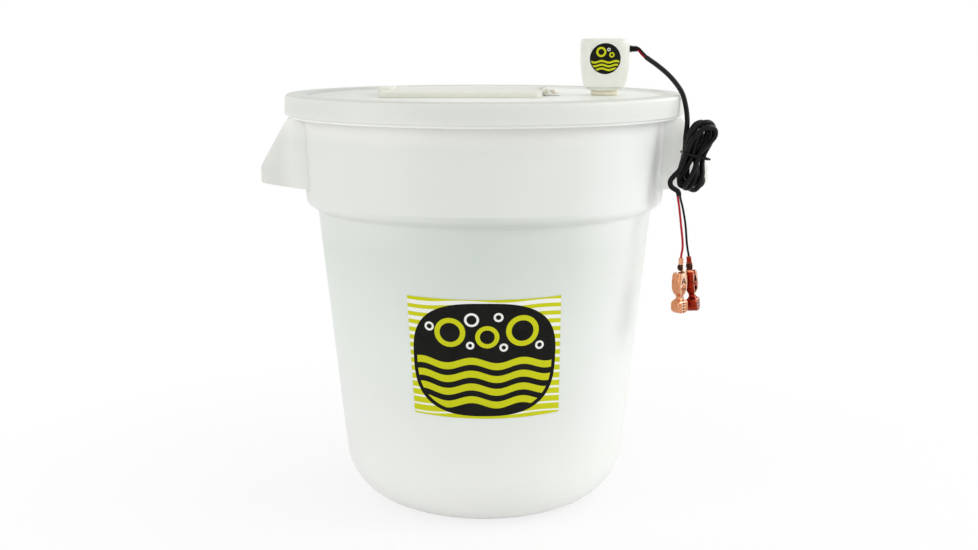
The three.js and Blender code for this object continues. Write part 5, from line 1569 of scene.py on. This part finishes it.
def printed(name, across_of, panel_row, wave_row, bubbles, stripes):
    finish = Finish(name, roughness=0.3, specular_ior_level=0.08)
    x, y, up = finish.place_parts()
    across = across_of(x, y)
    ground = paper
    if stripes:
        low, pitch, count = stripes
        share = 0.8 - (up - low) * (0.34 / (pitch * count))
        ground = finish.blend(waves(across, up - low, pitch, share, 0.0009, 14.0, count), paper, lime)
    middle, half, exponent, border = panel_row
    panel = soft_panel(across, up, middle, half, exponent)
    low, *shape = wave_row
    field = soft_panel(across, up, middle, [size - border for size in half], exponent)
    art = finish.blend(waves(across, up - low, *shape) * field, ink, lime)
    for tint, *ring in bubbles:
        art = finish.blend(bubble(across, up, *ring), art, tint)
    cloud = finish.noise(60.0, detail=3.0)
    sheet = finish.blend(panel, ground, art)
    finish.feed("Base Color", finish.blend(cloud * 0.06, sheet, tone(120, 120, 110)))
    finish.feed("Roughness", 0.28 + (cloud - 0.5) * 0.12)
    finish.grain(finish.noise(900.0, detail=2.0), 0.06, 0.0002)
    return finish


wall_radius = 0.155
wall_print = printed(
    "wall_print", lambda x, y: x.angle_from(y * -1.0) * wall_radius,
    ((0.0, 0.1797), (0.0675, 0.0558), 2.8, 0.0036), (0.1345, 0.0128, 0.54, 0.0027, 21.0, 4.0),
    [
        (lime, (-0.0315, 0.2068), 0.0118, 0.0024), (lime, (0.0345, 0.2085), 0.0126, 0.0025),
        (lime, (0.0025, 0.2028), 0.0088, 0.0021), (paper, (-0.0115, 0.2195), 0.0056, 0.0011),
        (paper, (0.0125, 0.2220), 0.0034, 0.0010), (paper, (0.0175, 0.1925), 0.0030, 0.0010),
        (paper, (0.0510, 0.1935), 0.0032, 0.0010), (paper, (-0.0130, 0.1945), 0.0028, 0.0010),
        (paper, (-0.0505, 0.2120), 0.0034, 0.0010),
    ],
    (0.1195, 0.00785, 16.0),
)
badge_radius, badge_x, badge_height = 15.75, -1.5, 457.0
head_print = printed(
    "head_print", lambda x, y: x - (head_x + badge_x) * MILLIMETRE,
    ((0.0, 0.457), (0.0154, 0.0154), 2.0, 0.0012), (0.4455, 0.0037, 0.55, 0.0008, 70.0, 3.0),
    [
        (lime, (-0.0042, 0.4636), 0.0040, 0.0010), (lime, (0.0064, 0.4608), 0.0020, 0.0007),
        (paper, (0.0034, 0.4660), 0.0013, 0.0004),
    ],
    None,
)
print("prints:", wall_print.material.name, head_print.material.name)

# %% [markdown]
# A sticker is a real, very thin sheet that follows what it is stuck on. The big one lies on the
# cone of the wall, and the round one bends with the head's front.

# %% Stickers in place
foot_radius, wall_flare, wall_height = 140.4, 31.1, 306.5


def wall_at(height):
    """The outer radius of the lower wall."""
    return foot_radius + wall_flare * height / wall_height


sticker_lift, sticker_film = 0.05, 0.22
sticker_columns, sticker_rows = 48, 10
sticker_foot, foot_bow = 121.4, 2.5
sticker_top, top_bow = 238.9, 1.4
sticker_left, left_spread = -66.8, 6
sticker_right, right_spread = 71.2, 0.7
rings = []
for k in range(sticker_columns + 1):
    share = k / sticker_columns
    column = []
    for row in range(sticker_rows + 1):
        up = row / sticker_rows
        bow = (2 * share - 1) ** 2
        height = (sticker_foot + foot_bow * bow) * (1 - up) + (sticker_top + top_bow * bow) * up
        left, right = sticker_left - left_spread * up, sticker_right + right_spread * up
        angle = math.asin((left + (right - left) * share) / wall_at(height))
        column.append((angle, height))
    ring = []
    for lift, order in ((sticker_lift + sticker_film, 1), (sticker_lift, -1)):
        for angle, height in column[::order]:
            reach = wall_at(height) + lift
            ring.append((reach * math.sin(angle), -reach * math.cos(angle), height))
    rings.append(ring)
wall_sticker = skinned("wall_sticker", rings)
dressed(wall_sticker, wall_print, "milky_plastic", "tub", sharp=60)


def head_front(x, height, lift):
    half, exponent = head_size(height)
    depth = half * (1 - min(abs(x) / half, 1) ** exponent) ** (1 / exponent)
    return (head_x + x, -depth - lift, height)


badge_rings = []
for lift, order in ((sticker_lift, 1), (sticker_lift + sticker_film, -1)):
    for share in [0.06, 0.3, 0.55, 0.8, 1.0][::order]:
        angles = [2 * math.pi * k / 72 for k in range(72)]
        reach = badge_radius * share
        badge_rings.append([
            head_front(badge_x + reach * math.cos(angle), badge_height + reach * math.sin(angle), lift)
            for angle in angles
        ])
badge = skinned("head_sticker", badge_rings)
dressed(badge, head_print, "ivory_plastic", "lid", sharp=60)
print("stickers:", [round(1000 * size) for size in wall_sticker.dimensions])

# %% Sizes and finish
dressed_low, dressed_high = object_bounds()
for label, size in (("packed", cad_high - cad_low), ("dressed", dressed_high - dressed_low)):
    print(label, "mm:", [round(1000 * side, 1) for side in size])
